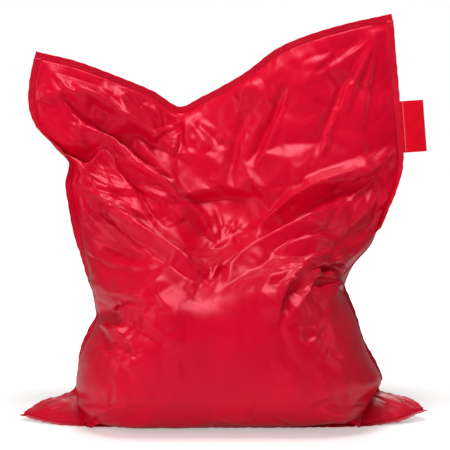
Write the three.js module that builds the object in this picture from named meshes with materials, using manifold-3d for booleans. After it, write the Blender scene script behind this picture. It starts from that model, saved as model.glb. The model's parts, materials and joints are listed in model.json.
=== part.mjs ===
// A large rectangular bean bag, stood on its short edge and pressed into a lounge chair.
// Two fabric panels are sewn together all round and hold loose foam beads. The two bottom corners lie
// on the floor as flat ears, the two top corners stand up as wings, and the seat is a hollow between them.
// Millimetres, +Z up, the sitter looks along -Y, origin on the floor under the middle of the bag.
import * as THREE from "three";
import { mergeVertices } from "three/addons/utils/BufferGeometryUtils.js";
import Module from "manifold-3d";

const wasm = await Module();
wasm.setup();

// ---- Driving dimensions -------------------------------------------------------------------------

const WIDTH = 1330; // from the tip of one ear to the tip of the other
const DEPTH = 800; // from the front of the belly to the back
const HEIGHT = 1350; // from the floor to the tip of the higher wing

const FABRIC = 1.2; // the panels' thickness
const CLEARANCE = 0.6; // between pieces that touch
const FILL_CLEARANCE = 1; // between the beads and the panels
const PUFF = 12; // how far each panel stands off the middle just inside a seam
const EDGE_ZONE = 45; // the width of the band that runs from a seam to the full puff

const FLANGE_WIDTH = 20; // the sewn edge that stands out of the seam
const FLANGE_THICKNESS = 3;
const FLANGE_ROOT = 2; // from the panels' common edge to the flange
const THREAD = 0.9; // the topstitching's thickness
const TROUGH = 6; // how high the front panel arches over the bottom flange

const ARM_RISE = 165; // how much an arm beside the seat lifts as it swells forwards by half the depth

const BACK_FLAT = 0.94; // where the back is flat, as a share of half the depth
const ZIP_LENGTH = 600;
const ZIP_HEIGHT = 215; // the zip's middle above the floor
const SLOT_HEIGHT = 14; // the gap in the back panel that shows the zip
const TAPE_WIDTH = 18;
const TAPE_THICKNESS = 0.8;
const COIL_WIDTH = 2.6;
const COIL_HEIGHT = 2;
const COIL_GAP = 1.6; // between the two rows, where the slider's neck runs
const SLIDER_LENGTH = 14;
const SLIDER_WIDTH = 11;
const SLIDER_PLATE = 1.2;
const SLIDER_NECK = 0.8;
const SLIDER_INSET = 2; // from the plates' ends to the neck
const EYE_INSET = 3; // from the plates' ends to the eye
const EYE_HEIGHT = 2; // how far the eye stands off the outer plate, and half its width
const EYE_WALL = 1.2;
const EYE_SINK = 0.2; // how deep the eye is set into the plate
const STOP_LENGTH = 4;

const FLAP_OVERLAP = 25; // how far the flap reaches past each end of the zip
const FLAP_LENGTH = ZIP_LENGTH + 2 * FLAP_OVERLAP;
const FLAP_HEIGHT = 62;
const FLAP_THICKNESS = 1.6;
const FLAP_ROOT_HEIGHT = 14; // the band along which the flap is sewn on
const TOUCH_TAPE_HEIGHT = 16; // the hook strip and the loop strip
const TOUCH_TAPE_THICKNESS = 1.6;

const LABEL_LENGTH = 176; // along the seam
const LABEL_WIDTH = 70; // out from the seam
const LABEL_LEAF = 0.7; // each of the folded label's two layers
const LABEL_TOP = 0.795; // where on the right seam the label starts, as a share of the height
const LABEL_MARGIN = 0.25; // the share of its length past each end in which the flange must clear it
const CARE_LENGTH = 60;
const CARE_HEIGHT = 38;
const CARE_GAP = 8; // from the flap's band up to the care label
const CARE_INSET = 20; // from the zip's end to the care label

const COLUMNS = 22; // the mesh of each panel
const ROWS = 28;
const WEDGE_LIMIT = 20; // how far an inner layer's edge may lie behind the panels' common edge
const WELD = 1e-4; // points closer than this are one
const ROUND_STEPS = 6; // the sides of a coil's rounded edge
const FOLD_STEPS = 4; // the sides of the label's fold

// ---- The shape of the stood-up bag --------------------------------------------------------------

// The panels' edges reach the overall size less the flange that stands out of them.
const overhang = FLANGE_ROOT + FLANGE_WIDTH;
const halfWidth = WIDTH / 2 - overhang;
const halfDepth = DEPTH / 2;
const panelHeight = HEIGHT - overhang;

// A point from shares: x of half the width, y of half the depth, z of the height.
const at = (x, y, z) => new THREE.Vector3(x * halfWidth, y * halfDepth, z * panelHeight);
const curve = (...points) => new THREE.CatmullRomCurve3(points.map((p) => at(...p)), false, "centripetal");
const liftHeight = FLANGE_THICKNESS / 2 + TROUGH; // the bottom seam rides over its flange
const lift = liftHeight / panelHeight;

// The side seams run from the tip of an ear up to the tip of a wing.
const leftSeam = curve(
  [-1, -0.26, 0.015],
  [-0.92, -0.08, 0.034],
  [-0.84, 0.02, 0.04],
  [-0.77, 0.12, 0.055],
  [-0.76, 0.16, 0.11],
  [-0.74, 0.16, 0.16],
  [-0.66, 0.12, 0.25],
  [-0.69, 0.12, 0.3],
  [-0.72, 0.12, 0.375],
  [-0.77, 0.12, 0.49],
  [-0.8, 0.12, 0.58],
  [-0.795, 0.11, 0.63],
  [-0.89, 0.14, 0.68],
  [-0.97, 0.18, 0.73],
  [-1.0, 0.21, 0.79],
  [-0.995, 0.23, 0.84],
  [-0.97, 0.26, 0.903],
);
const rightSeam = curve(
  [1, -0.26, 0.025],
  [0.95, -0.12, 0.042],
  [0.87, 0.02, 0.045],
  [0.8, 0.12, 0.055],
  [0.82, 0.17, 0.09],
  [0.74, 0.17, 0.165],
  [0.68, 0.12, 0.25],
  [0.625, 0.08, 0.315],
  [0.62, 0.02, 0.35],
  [0.68, 0.03, 0.385],
  [0.78, 0.07, 0.44],
  [0.85, 0.13, 0.515],
  [0.9, 0.17, 0.575],
  [0.925, 0.21, 0.64],
  [0.905, 0.25, 0.79],
  [0.885, 0.28, 0.9],
  [0.867, 0.3, 1],
);
const bottomSeam = curve(
  [-1, -0.26, 0.015],
  [-0.85, -0.42, lift + 0.002],
  [-0.65, -0.5, lift],
  [0, -0.54, lift],
  [0.65, -0.5, lift],
  [0.87, -0.4, lift + 0.005],
  [1, -0.26, 0.025],
);
const topSeam = curve(
  [-0.97, 0.26, 0.903],
  [-0.8, 0.31, 0.884],
  [-0.63, 0.37, 0.855],
  [-0.4, 0.48, 0.81],
  [-0.24, 0.58, 0.768],
  [-0.1, 0.56, 0.796],
  [0.13, 0.49, 0.857],
  [0.3, 0.44, 0.918],
  [0.44, 0.4, 0.948],
  [0.65, 0.35, 0.978],
  [0.867, 0.3, 1],
);
// The middle of the front panel: under the belly, up over it, along the seat and up the backrest.
const frontLine = curve(
  [0, -0.54, lift],
  [0, -0.67, 0],
  [0, -0.83, 0.02],
  [0, -0.97, 0.085],
  [0, -1, 0.17],
  [0, -0.97, 0.25],
  [0, -0.86, 0.305],
  [0, -0.66, 0.345],
  [0, -0.36, 0.385],
  [0, -0.05, 0.425],
  [0, 0.14, 0.48],
  [0, 0.24, 0.55],
  [0, 0.34, 0.62],
  [0, 0.44, 0.69],
  [0, 0.54, 0.77],
);
// The middle of the back panel: along the floor and up the back.
const backLine = curve(
  [0, -0.54, lift],
  [0, -0.4, 0],
  [0, 0, 0],
  [0, 0.45, 0],
  [0, 0.8, 0],
  [0, 0.98, 0.03],
  [0, 1.05, 0.1],
  [0, 1.06, 0.19],
  [0, 1.03, 0.29],
  [0, 0.95, 0.41],
  [0, 0.86, 0.52],
  [0, 0.76, 0.63],
  [0, 0.66, 0.72],
  [0, 0.58, 0.77],
);

const clamp = (x, low, high) => Math.min(high, Math.max(low, x));
const mix = (a, b, t) => a + (b - a) * t;
const smooth = (x, from, to) => {
  const t = clamp((x - from) / (to - from), 0, 1);
  return t * t * (3 - 2 * t);
};

// A value that changes along the panel, from knots of [v, value].
function along(knots, v) {
  const next = knots.findIndex(([place]) => place >= v);
  if (next <= 0) return knots[0][1];
  const [v0, a] = knots[next - 1];
  const [v1, b] = knots[next];
  return mix(a, b, (v - v0) / (v1 - v0));
}

// How boxy a level section of the bag is: high numbers are nearly square, 1 is a tent.
const frontPower = [[0, 6], [0.3, 4], [0.45, 2.8], [0.6, 2.2], [0.8, 1.8], [1, 1.5]];
const frontRoot = [[0, 3], [0.3, 2.2], [0.45, 1.6], [0.6, 1.2], [1, 1]];
const BACK_ROOT = 4;
const TOP_ROWS = 0.78; // from here up, the rows bend into the top seam
const BOTTOM_ROWS = 0.06; // from here down, they bend into the bottom seam
const EAR_ROWS = [0.12, 0.2]; // the ears lie flat below these rows, and the sides stand above them
const EAR_PUFF = [0.5, 0.85]; // how far an ear's panels part forwards and upwards, as shares of the puff
const SEAM_AT_ZIP = 0.25; // the zip's height, as a share of the side seams' length
const BACK_AT_ZIP = 0.5; // and of the back line's length
const backRoot = [[0, BACK_ROOT], [0.5, BACK_ROOT], [0.8, 2], [1, 1]];
const middle = [[0, 0.5], [0.4, 0.49], [0.6, 0.46], [1, 0.42]]; // where the hollow lies across the bag
const bodyShare = [[0, 0.66], [0.06, 0.76], [0.12, 0.92], [0.18, 1], [1, 1]]; // the rest is the ears
const armSize = [[0, 0], [0.32, 0], [0.45, 0.16], [0.62, 0.2], [0.78, 0.1], [0.9, 0], [1, 0]];

// The back is boxy enough to be flat one mesh cell past the ends of the zip's flap.
function powerForFlap() {
  const left = leftSeam.getPointAt(SEAM_AT_ZIP);
  const right = rightSeam.getPointAt(SEAM_AT_ZIP);
  const seamY = (left.y + right.y) / 2;
  const need = (BACK_FLAT * halfDepth - seamY) / (backLine.getPointAt(BACK_AT_ZIP).y - seamY);
  const reach = (FLAP_LENGTH / 2 + WIDTH / COLUMNS) / ((right.x - left.x) / 2);
  return Math.log(1 - need ** BACK_ROOT) / Math.log(reach);
}
const flapPower = powerForFlap();
const backPower = [[0, flapPower], [0.5, flapPower], [0.8, 3], [1, 1.6]];

// How far a point (u across, v up, both 0 to 1) has gone from the seams to the middle line.
function fullness(u, v, power, root) {
  const centre = along(middle, v);
  const side = u < centre ? (centre - u) / centre : (u - centre) / (1 - centre);
  const s = clamp(side / along(bodyShare, v), 0, 1);
  return (1 - s ** along(power, v)) ** (1 / along(root, v));
}

// The arms beside the seat: zero at the seam and the middle, full halfway.
function arm(u, v) {
  const centre = along(middle, v);
  const half = u < centre ? u / centre : (1 - u) / (1 - centre);
  return along(armSize, v) * Math.sin(Math.PI * half) ** 2;
}

// A point of the front panel (side -1) or the back panel (side 1).
function panelPoint(u, v, side) {
  const front = side < 0;
  const left = leftSeam.getPointAt(v);
  const right = rightSeam.getPointAt(v);
  const line = (front ? frontLine : backLine).getPointAt(v);
  const full = fullness(u, v, front ? frontPower : backPower, front ? frontRoot : backRoot);
  const chord = left.clone().lerp(right, u);
  const chordMiddle = left.clone().lerp(right, along(middle, v));
  const point = chord.clone();
  point.y += full * (line.y - chordMiddle.y);
  point.z += full * (line.z - chordMiddle.z);

  const swell = front ? arm(u, v) : 0;
  point.y -= swell * halfDepth;
  point.z += swell * ARM_RISE;

  // The last rows run into the top seam and the first ones into the bottom seam.
  for (const [seam, end, row, amount] of [
    [topSeam, 1, leftSeam.getPointAt(1).lerp(rightSeam.getPointAt(1), u), smooth(v, TOP_ROWS, 1)],
    [bottomSeam, 0, leftSeam.getPointAt(0).lerp(rightSeam.getPointAt(0), u), smooth(v, BOTTOM_ROWS, 0)],
  ]) {
    if (amount === 0) continue;
    const onRow = fullness(u, end, front ? frontPower : backPower, front ? frontRoot : backRoot);
    const lineEnd = (front ? frontLine : backLine).getPointAt(end);
    const rowMiddle = leftSeam.getPointAt(end).lerp(rightSeam.getPointAt(end), along(middle, end));
    row.y += onRow * (lineEnd.y - rowMiddle.y);
    row.z += onRow * (lineEnd.z - rowMiddle.z);
    point.addScaledVector(seam.getPointAt(u).sub(row), amount);
  }

  // Just inside a seam the two panels already stand apart; an ear puffs upwards, the rest forwards.
  const across = left.distanceTo(right);
  const up = leftSeam.getLength();
  const fromSide = smooth(Math.min(u, 1 - u) * across, 0, EDGE_ZONE);
  const fromEnd = smooth(Math.min(v, 1 - v) * up, 0, EDGE_ZONE);
  const lying = smooth(v, EAR_ROWS[1], EAR_ROWS[0]);
  const puff = new THREE.Vector3(0, -mix(1, EAR_PUFF[0], lying), mix(0, EAR_PUFF[1], lying));
  point.addScaledVector(puff, -side * PUFF * fromSide * fromEnd);

  point.y = Math.min(point.y, BACK_FLAT * halfDepth);
  const overFlange = front && v * up < 2 * FLANGE_WIDTH;
  const lowest = v === 0 || overFlange ? liftHeight : 0;
  point.z = Math.max(point.z, lowest);
  return point;
}

// ---- Meshes from grids --------------------------------------------------------------------------

// Grid lines close together near the seams, so that the edges stay crisp.
function gridLines(count, edge) {
  const inner = count - 2;
  return [0, ...Array.from({ length: inner + 1 }, (_, i) => mix(edge, 1 - edge, i / inner)), 1];
}
const uLines = gridLines(COLUMNS, EDGE_ZONE / WIDTH);
const seamLength = leftSeam.getLength();
const vLines = gridLines(ROWS, EDGE_ZONE / seamLength);
const across = uLines.length;
const up = vLines.length;
const index = (i, j) => j * across + i;

// The order of the grid's rim, anticlockwise seen from the front.
const rim = [];
for (let i = 0; i < across - 1; i++) rim.push([i, 0]);
for (let j = 0; j < up - 1; j++) rim.push([across - 1, j]);
for (let i = across - 1; i > 0; i--) rim.push([i, up - 1]);
for (let j = up - 1; j > 0; j--) rim.push([0, j]);

const gridOf = (side) => vLines.flatMap((v) => uLines.map((u) => panelPoint(u, v, side)));

// The triangles of a grid that faces the front.
function gridFaces() {
  const faces = [];
  for (let j = 0; j < up - 1; j++)
    for (let i = 0; i < across - 1; i++) {
      const [a, b, c, d] = [index(i, j), index(i + 1, j), index(i + 1, j + 1), index(i, j + 1)];
      faces.push([a, b, c], [a, c, d]);
    }
  return faces;
}

function geometryOf(points, faces) {
  const geometry = new THREE.BufferGeometry();
  const positions = points.flatMap((p) => [p.x, p.y, p.z]);
  geometry.setAttribute("position", new THREE.Float32BufferAttribute(positions, 3));
  geometry.setIndex(faces.flat());
  return geometry;
}

// Unit normals of a grid that point out of the bag.
function normalsOf(points, side) {
  const geometry = geometryOf(points, gridFaces());
  geometry.computeVertexNormals();
  const normal = geometry.getAttribute("normal");
  return points.map((_, i) => new THREE.Vector3().fromBufferAttribute(normal, i).multiplyScalar(-side));
}

const front = gridOf(-1);
const back = gridOf(1);
const frontNormals = normalsOf(front, -1);
const backNormals = normalsOf(back, 1);

// At each point of the rim: the way into the bag, the way towards the front panel, and the sine of half the
// angle at which the panels meet.
const rimFrames = rim.map(([i, j]) => {
  const k = index(i, j);
  const inner = index(clamp(i, 1, across - 2), clamp(j, 1, up - 2));
  const intoFront = front[inner].clone().sub(front[k]).normalize();
  const intoBack = back[inner].clone().sub(back[k]).normalize();
  const normals = frontNormals[k].clone().add(backNormals[k]);
  const inward = intoFront.clone().add(intoBack).sub(normals).normalize();
  const toFront = intoFront.clone().sub(intoBack);
  toFront.addScaledVector(inward, -toFront.dot(inward)).normalize();
  return { k, inward, toFront, sine: normals.length() / 2 };
});

// A grid moved in by a distance from the outside, with its rim set back where the panels meet at a wedge.
function insetGrid(points, normals, distance) {
  const moved = points.map((p, i) => p.clone().addScaledVector(normals[i], -distance));
  for (const { k, inward, sine } of rimFrames)
    moved[k] = points[k].clone().addScaledVector(inward, Math.min(distance / sine, WEDGE_LIMIT + distance));
  return moved;
}

function standardMesh(name, geometry, colour, roughness = 0.6, metalness = 0) {
  const material = new THREE.MeshStandardMaterial({ color: colour, roughness, metalness });
  const mesh = new THREE.Mesh(geometry, material);
  mesh.name = name;
  return mesh;
}

const RED = 0xc8102e;
const DEEP_RED = 0x9c0a22;
const THREAD_RED = 0xb00d28;
const LABEL_RED = 0xe0001b;
const BEAD_WHITE = 0xf2f2ee;
const CARE_WHITE = 0xf4f4f4;
const STEEL = 0xb8bcc0;

// ---- Booleans -----------------------------------------------------------------------------------

function solidOf(geometry) {
  const bare = new THREE.BufferGeometry();
  bare.setAttribute("position", geometry.getAttribute("position").clone());
  if (geometry.index) bare.setIndex(geometry.index.clone());
  const merged = mergeVertices(bare, WELD);
  return new wasm.Manifold(
    new wasm.Mesh({
      numProp: 3,
      vertProperties: merged.attributes.position.array,
      triVerts: new Uint32Array(merged.index.array),
    }),
  );
}

function geometryFrom(solid) {
  const { vertProperties, triVerts, numProp } = solid.getMesh();
  const positions = new Float32Array((vertProperties.length / numProp) * 3);
  for (let i = 0; i * numProp < vertProperties.length; i++)
    positions.set(vertProperties.subarray(i * numProp, i * numProp + 3), i * 3);
  const geometry = new THREE.BufferGeometry();
  geometry.setAttribute("position", new THREE.BufferAttribute(positions, 3));
  geometry.setIndex(new THREE.BufferAttribute(triVerts, 1));
  return geometry;
}

// A box from its lowest and highest corners.
function boxBetween(low, high) {
  const size = high.map((x, i) => x - low[i]);
  const geometry = new THREE.BoxGeometry(...size);
  geometry.translate(...low.map((x, i) => x + size[i] / 2));
  return geometry;
}

const cut = (geometry, ...tools) =>
  geometryFrom(tools.reduce((solid, tool) => solid.subtract(solidOf(tool)), solidOf(geometry)));
const join = (geometry, ...others) =>
  geometryFrom(others.reduce((solid, other) => solid.add(solidOf(other)), solidOf(geometry)));

// ---- Zip and flap places ------------------------------------------------------------------------

const backFace = BACK_FLAT * halfDepth; // the flat part of the back's outer face
const tapeOuter = backFace - FABRIC - CLEARANCE;
const tapeInner = tapeOuter - TAPE_THICKNESS;
const coilOuter = tapeOuter + CLEARANCE / 2 + COIL_HEIGHT;
const sliderOuter = coilOuter + CLEARANCE / 2 + SLIDER_PLATE;
const sliderEye = sliderOuter + EYE_HEIGHT; // the top of the eye that a paper clip goes through
const sliderInner = tapeInner - CLEARANCE / 2 - SLIDER_PLATE;
const flapInner = Math.max(
  sliderEye + CLEARANCE,
  backFace + 2 * TOUCH_TAPE_THICKNESS + 3 * CLEARANCE,
);
const flapOuter = flapInner + FLAP_THICKNESS;
const flapHinge = ZIP_HEIGHT + FLAP_HEIGHT / 2;

// ---- Sub-parts ----------------------------------------------------------------------------------

// A panel: the outer grid, the same grid one fabric thickness further in, and the rim between them.
function panelGeometry(side) {
  const isFront = side < 0;
  const outer = (isFront ? front : back).map((p) => p.clone());
  const inner = insetGrid(isFront ? front : back, isFront ? frontNormals : backNormals, FABRIC);
  for (const { k, toFront } of rimFrames)
    for (const grid of [outer, inner]) grid[k].addScaledVector(toFront, (-side * CLEARANCE) / 2);
  const count = outer.length;
  const faces = gridFaces();
  const turned = (list) => list.map(([a, b, c]) => [a, c, b]);
  const shifted = faces.map((face) => face.map((n) => n + count));
  const wall = rimFrames.flatMap(({ k: a }, n) => {
    const b = rimFrames[(n + 1) % rimFrames.length].k;
    return [
      [a, a + count, b],
      [b, a + count, b + count],
    ];
  });
  const outward = [...faces, ...turned(shifted), ...wall];
  return geometryOf([...outer, ...inner], isFront ? outward : turned(outward));
}

function frontPanel() {
  return standardMesh("front_panel", panelGeometry(-1), RED);
}

// The back panel has a slot for the zip.
function backPanel() {
  const slot = boxBetween(
    [-ZIP_LENGTH / 2, backFace - 5 * FABRIC, ZIP_HEIGHT - SLOT_HEIGHT / 2],
    [ZIP_LENGTH / 2, backFace + 5 * FABRIC, ZIP_HEIGHT + SLOT_HEIGHT / 2],
  );
  return standardMesh("back_panel", cut(panelGeometry(1), slot), RED);
}

// The beads, as the one body that they make, with a recess behind the zip.
function beadFill() {
  const frontGrid = insetGrid(front, frontNormals, FABRIC + FILL_CLEARANCE);
  const backGrid = insetGrid(back, backNormals, FABRIC + FILL_CLEARANCE);
  const count = frontGrid.length;
  const onRim = new Set(rimFrames.map(({ k }) => k));
  for (const k of onRim) frontGrid[k].lerp(backGrid[k], 0.5);
  const backFaces = gridFaces().map(([a, b, c]) => [a, c, b].map((n) => (onRim.has(n) ? n : n + count)));
  const geometry = geometryOf([...frontGrid, ...backGrid], [...gridFaces(), ...backFaces]);
  const used = mergeVertices(geometry, WELD);
  const side = ZIP_LENGTH / 2 + 2 * CLEARANCE + STOP_LENGTH;
  const recess = boxBetween(
    [-side, sliderInner - 2 * CLEARANCE, ZIP_HEIGHT - TAPE_WIDTH - 2 * CLEARANCE - COIL_GAP],
    [side, backFace + FABRIC, ZIP_HEIGHT + TAPE_WIDTH + 2 * CLEARANCE + COIL_GAP],
  );
  return standardMesh("bead_fill", cut(used, recess), BEAD_WHITE, 0.9);
}

// A band along a run of the rim, between two heights along the way to the front. Its section has a
// point at each of the given distances out from the panels' edge, so that bands which share those
// distances lie evenly on each other where the seam twists.
function bandGeometry(stations, distances, low, high) {
  const rows = distances.length;
  const section = [...distances.map((o) => [o, low]), ...distances.map((o) => [o, high]).reverse()];
  const sides = section.length;
  const points = stations.flatMap(({ at: p, out, toFront }) =>
    section.map(([o, h]) => p.clone().addScaledVector(out, o).addScaledVector(toFront, h)),
  );
  const last = (stations.length - 1) * sides;
  const faces = [];
  for (let n = 0; n < rows - 1; n++) {
    const cap = [n, n + 1, sides - 2 - n, sides - 1 - n];
    faces.push([cap[0], cap[1], cap[2]], [cap[0], cap[2], cap[3]]);
    const [a, b, c, d] = cap.map((corner) => corner + last);
    faces.push([a, c, b], [a, d, c]);
  }
  for (let s = 0; s < stations.length - 1; s++)
    for (let n = 0; n < sides; n++) {
      const [a, b] = [s * sides + n, s * sides + ((n + 1) % sides)];
      // The upper half turns its diagonals, so that they run the same way as the lower half's.
      if (n < rows) faces.push([a, a + sides, b], [b, a + sides, b + sides]);
      else faces.push([a, a + sides, b + sides], [a, b + sides, b]);
    }
  const geometry = geometryOf(points, faces);
  return solidVolume(geometry) < 0 ? geometryOf(points, faces.map(([a, b, c]) => [a, c, b])) : geometry;
}

function solidVolume(geometry) {
  const p = geometry.getAttribute("position");
  const [a, b, c] = [new THREE.Vector3(), new THREE.Vector3(), new THREE.Vector3()];
  let sum = 0;
  for (let i = 0; i < geometry.index.count; i += 3) {
    [a, b, c].forEach((corner, n) => corner.fromBufferAttribute(p, geometry.index.getX(i + n)));
    sum += a.dot(b.cross(c));
  }
  return sum / 6;
}

// The stations of one seam, each with its place, the way out of the bag square to the seam, and the
// way to the front. The bottom flange lies flat on the floor and points forwards.
function seamStations(which) {
  const onSeam = {
    left: ([i]) => i === 0,
    right: ([i]) => i === across - 1,
    top: ([, j]) => j === up - 1,
    bottom: ([, j]) => j === 0,
  }[which];
  const frames = rimFrames.filter((_, n) => onSeam(rim[n]));
  const order = which === "left" || which === "right" ? (f) => Math.floor(f.k / across) : (f) => f.k % across;
  frames.sort((a, b) => order(a) - order(b));
  return frames.map((frame, n) => {
    const here = front[frame.k];
    const before = front[frames[Math.max(n - 1, 0)].k];
    const after = front[frames[Math.min(n + 1, frames.length - 1)].k];
    const tangent = after.clone().sub(before).normalize();
    const flat = which === "bottom";
    const out = flat ? new THREE.Vector3(0, -1, 0) : frame.inward.clone().negate();
    out.addScaledVector(tangent, -out.dot(tangent)).normalize();
    const square = new THREE.Vector3().crossVectors(out, tangent).normalize();
    const toFront = flat ? new THREE.Vector3(0, 0, 1) : square;
    if (!flat && toFront.dot(frame.toFront) < 0) toFront.negate();
    const place = flat ? here.clone().add(new THREE.Vector3(0, 0, -TROUGH)) : here.clone();
    return { at: place, out, toFront };
  });
}

const seamNames = ["top", "bottom", "left", "right"];
const seams = Object.fromEntries(seamNames.map((which) => [which, seamStations(which)]));

const stitchLine = [FLANGE_ROOT + FLANGE_WIDTH / 3, FLANGE_ROOT + FLANGE_WIDTH / 3 + THREAD];

function flange(which) {
  const half = FLANGE_THICKNESS / 2;
  const geometry = bandGeometry(seams[which], [FLANGE_ROOT, ...stitchLine, overhang], -half, half);
  return standardMesh(which + "_seam_flange", geometry, DEEP_RED);
}

// The row of topstitching on a flange's front face.
function stitching(which) {
  const base = FLANGE_THICKNESS / 2 + CLEARANCE / 2;
  const geometry = bandGeometry(seams[which], stitchLine, base, base + THREAD);
  return standardMesh(which + "_seam_stitching", geometry, THREAD_RED, 0.5);
}

// A zip tape, above (way 1) or below (way -1) the middle of the zip.
function zipTape(name, way) {
  const [a, b] = [COIL_GAP / 2, COIL_GAP / 2 + TAPE_WIDTH].map((z) => ZIP_HEIGHT + way * z);
  const half = ZIP_LENGTH / 2 + STOP_LENGTH;
  return standardMesh(
    name,
    boxBetween([-half, tapeInner, Math.min(a, b)], [half, tapeOuter, Math.max(a, b)]),
    DEEP_RED,
  );
}

// A row of coil on its tape, with a rounded outer edge.
function zipCoil(name, way) {
  const shape = new THREE.Shape();
  const base = COIL_HEIGHT - COIL_WIDTH / 2;
  shape.moveTo(-COIL_WIDTH / 2, 0);
  shape.lineTo(COIL_WIDTH / 2, 0);
  shape.lineTo(COIL_WIDTH / 2, base);
  shape.absarc(0, base, COIL_WIDTH / 2, 0, Math.PI, false);
  shape.closePath();
  const length = ZIP_LENGTH - 2 * STOP_LENGTH - 4 * CLEARANCE;
  const extrusion = { depth: length, bevelEnabled: false, curveSegments: ROUND_STEPS };
  const geometry = new THREE.ExtrudeGeometry(shape, extrusion);
  // The section's +y becomes the way out of the back, and the extrusion runs along x.
  const turn = new THREE.Matrix4().makeBasis(
    new THREE.Vector3(0, 0, -1),
    new THREE.Vector3(0, 1, 0),
    new THREE.Vector3(1, 0, 0),
  );
  geometry.applyMatrix4(turn);
  const height = ZIP_HEIGHT + (way * (COIL_GAP + COIL_WIDTH)) / 2;
  geometry.translate(-length / 2, tapeOuter + CLEARANCE / 2, height);
  return standardMesh(name, geometry, THREAD_RED, 0.45);
}

// A stop closes both coils at one end (way -1 or 1) and is clamped through the gap between the tapes.
function zipStop(name, way) {
  const outer = boxBetween(
    [0, tapeOuter + CLEARANCE / 2, ZIP_HEIGHT - COIL_GAP / 2 - COIL_WIDTH],
    [STOP_LENGTH, coilOuter, ZIP_HEIGHT + COIL_GAP / 2 + COIL_WIDTH],
  );
  const from = way < 0 ? -ZIP_LENGTH / 2 + CLEARANCE : ZIP_LENGTH / 2 - CLEARANCE - STOP_LENGTH;
  outer.translate(from, 0, 0);
  return standardMesh(name, outer, STEEL, 0.35, 0.9);
}

// The slider has a plate on each side of the coils, a neck between them and an eye with no pull tab.
function zipSlider() {
  const neckLow = ZIP_HEIGHT - SLIDER_NECK / 2;
  const neckHigh = ZIP_HEIGHT + SLIDER_NECK / 2;
  const low = ZIP_HEIGHT - SLIDER_WIDTH / 2;
  const high = ZIP_HEIGHT + SLIDER_WIDTH / 2;
  const start = -ZIP_LENGTH / 2 + STOP_LENGTH + 3 * CLEARANCE;
  const end = start + SLIDER_LENGTH;
  const outerPlate = boxBetween([start, sliderOuter - SLIDER_PLATE, low], [end, sliderOuter, high]);
  const innerPlate = boxBetween([start, sliderInner, low], [end, sliderInner + SLIDER_PLATE, high]);
  const neck = boxBetween(
    [start + SLIDER_INSET, sliderInner, neckLow],
    [end - SLIDER_INSET, sliderOuter, neckHigh],
  );
  const eye = boxBetween(
    [start + EYE_INSET, sliderOuter - EYE_SINK, ZIP_HEIGHT - EYE_HEIGHT],
    [end - EYE_INSET, sliderEye, ZIP_HEIGHT + EYE_HEIGHT],
  );
  const eyeHole = boxBetween(
    [start + EYE_INSET + EYE_WALL, sliderOuter, ZIP_HEIGHT - 2 * EYE_HEIGHT],
    [end - EYE_INSET - EYE_WALL, sliderEye - EYE_WALL / 2, ZIP_HEIGHT + 2 * EYE_HEIGHT],
  );
  const body = join(outerPlate, innerPlate, neck, cut(eye, eyeHole));
  return standardMesh("zip_slider", body, STEEL, 0.3, 0.9);
}

// The flap hangs over the zip from a folded band that is sewn to the back.
function zipFlap() {
  return standardMesh(
    "zip_flap",
    boxBetween(
      [-FLAP_LENGTH / 2, flapInner, flapHinge - FLAP_HEIGHT],
      [FLAP_LENGTH / 2, flapOuter, flapHinge - CLEARANCE],
    ),
    RED,
  );
}

function flapRoot() {
  return standardMesh(
    "flap_root_band",
    boxBetween(
      [-FLAP_LENGTH / 2, backFace + CLEARANCE, flapHinge],
      [FLAP_LENGTH / 2, flapOuter, flapHinge + FLAP_ROOT_HEIGHT],
    ),
    RED,
  );
}

function touchTape(name, inner, outer) {
  const half = FLAP_LENGTH / 2 - 2 * FLAP_THICKNESS;
  const low = flapHinge - FLAP_HEIGHT + 2 * CLEARANCE;
  const strip = boxBetween([-half, inner, low], [half, outer, low + TOUCH_TAPE_HEIGHT]);
  return standardMesh(name, strip, DEEP_RED, 0.9);
}

const loopStrip = () =>
  touchTape("flap_loop_strip", backFace + CLEARANCE, backFace + CLEARANCE + TOUCH_TAPE_THICKNESS);
const hookStrip = () =>
  touchTape("flap_hook_strip", flapInner - CLEARANCE - TOUCH_TAPE_THICKNESS, flapInner - CLEARANCE);

function careLabel() {
  const low = flapHinge + FLAP_ROOT_HEIGHT + CARE_GAP;
  const left = -ZIP_LENGTH / 2 + CARE_INSET;
  return standardMesh(
    "care_label",
    boxBetween(
      [left, backFace + CLEARANCE, low],
      [left + CARE_LENGTH, backFace + 2 * CLEARANCE, low + CARE_HEIGHT],
    ),
    CARE_WHITE,
  );
}

// The folded label stands out of the right seam. Its hinge line is a chord of the flange's outer edge.
function labelFrame() {
  const edge = seams.right.map(({ at: p, out }) => p.clone().addScaledVector(out, overhang));
  const atHeight = (z) => {
    const n = edge.findIndex((p, i) => i > 0 && p.z >= z && edge[i - 1].z < z);
    return edge[n - 1].clone().lerp(edge[n], (z - edge[n - 1].z) / (edge[n].z - edge[n - 1].z));
  };
  const top = LABEL_TOP * panelHeight;
  const [high, low] = [atHeight(top), atHeight(top - LABEL_LENGTH)];
  const down = low.clone().sub(high).normalize();
  const out = new THREE.Vector3(1, 0, 0).addScaledVector(down, -down.x).normalize();
  const toFront = new THREE.Vector3().crossVectors(out, down).normalize();
  if (toFront.y > 0) toFront.negate();
  // The flange may bow out past the chord, so the label starts beyond its furthest point, with room for
  // the flange's corners when it folds back.
  const reaches = edge.map((p) => {
    const from = p.clone().sub(high);
    const share = from.dot(down) / LABEL_LENGTH;
    return share > -LABEL_MARGIN && share < 1 + LABEL_MARGIN ? from.dot(out) : 0;
  });
  const bow = Math.max(...reaches);
  const hinge = high.clone().addScaledVector(out, bow + CLEARANCE + FLANGE_THICKNESS);
  return { hinge, down, out, toFront };
}

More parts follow.
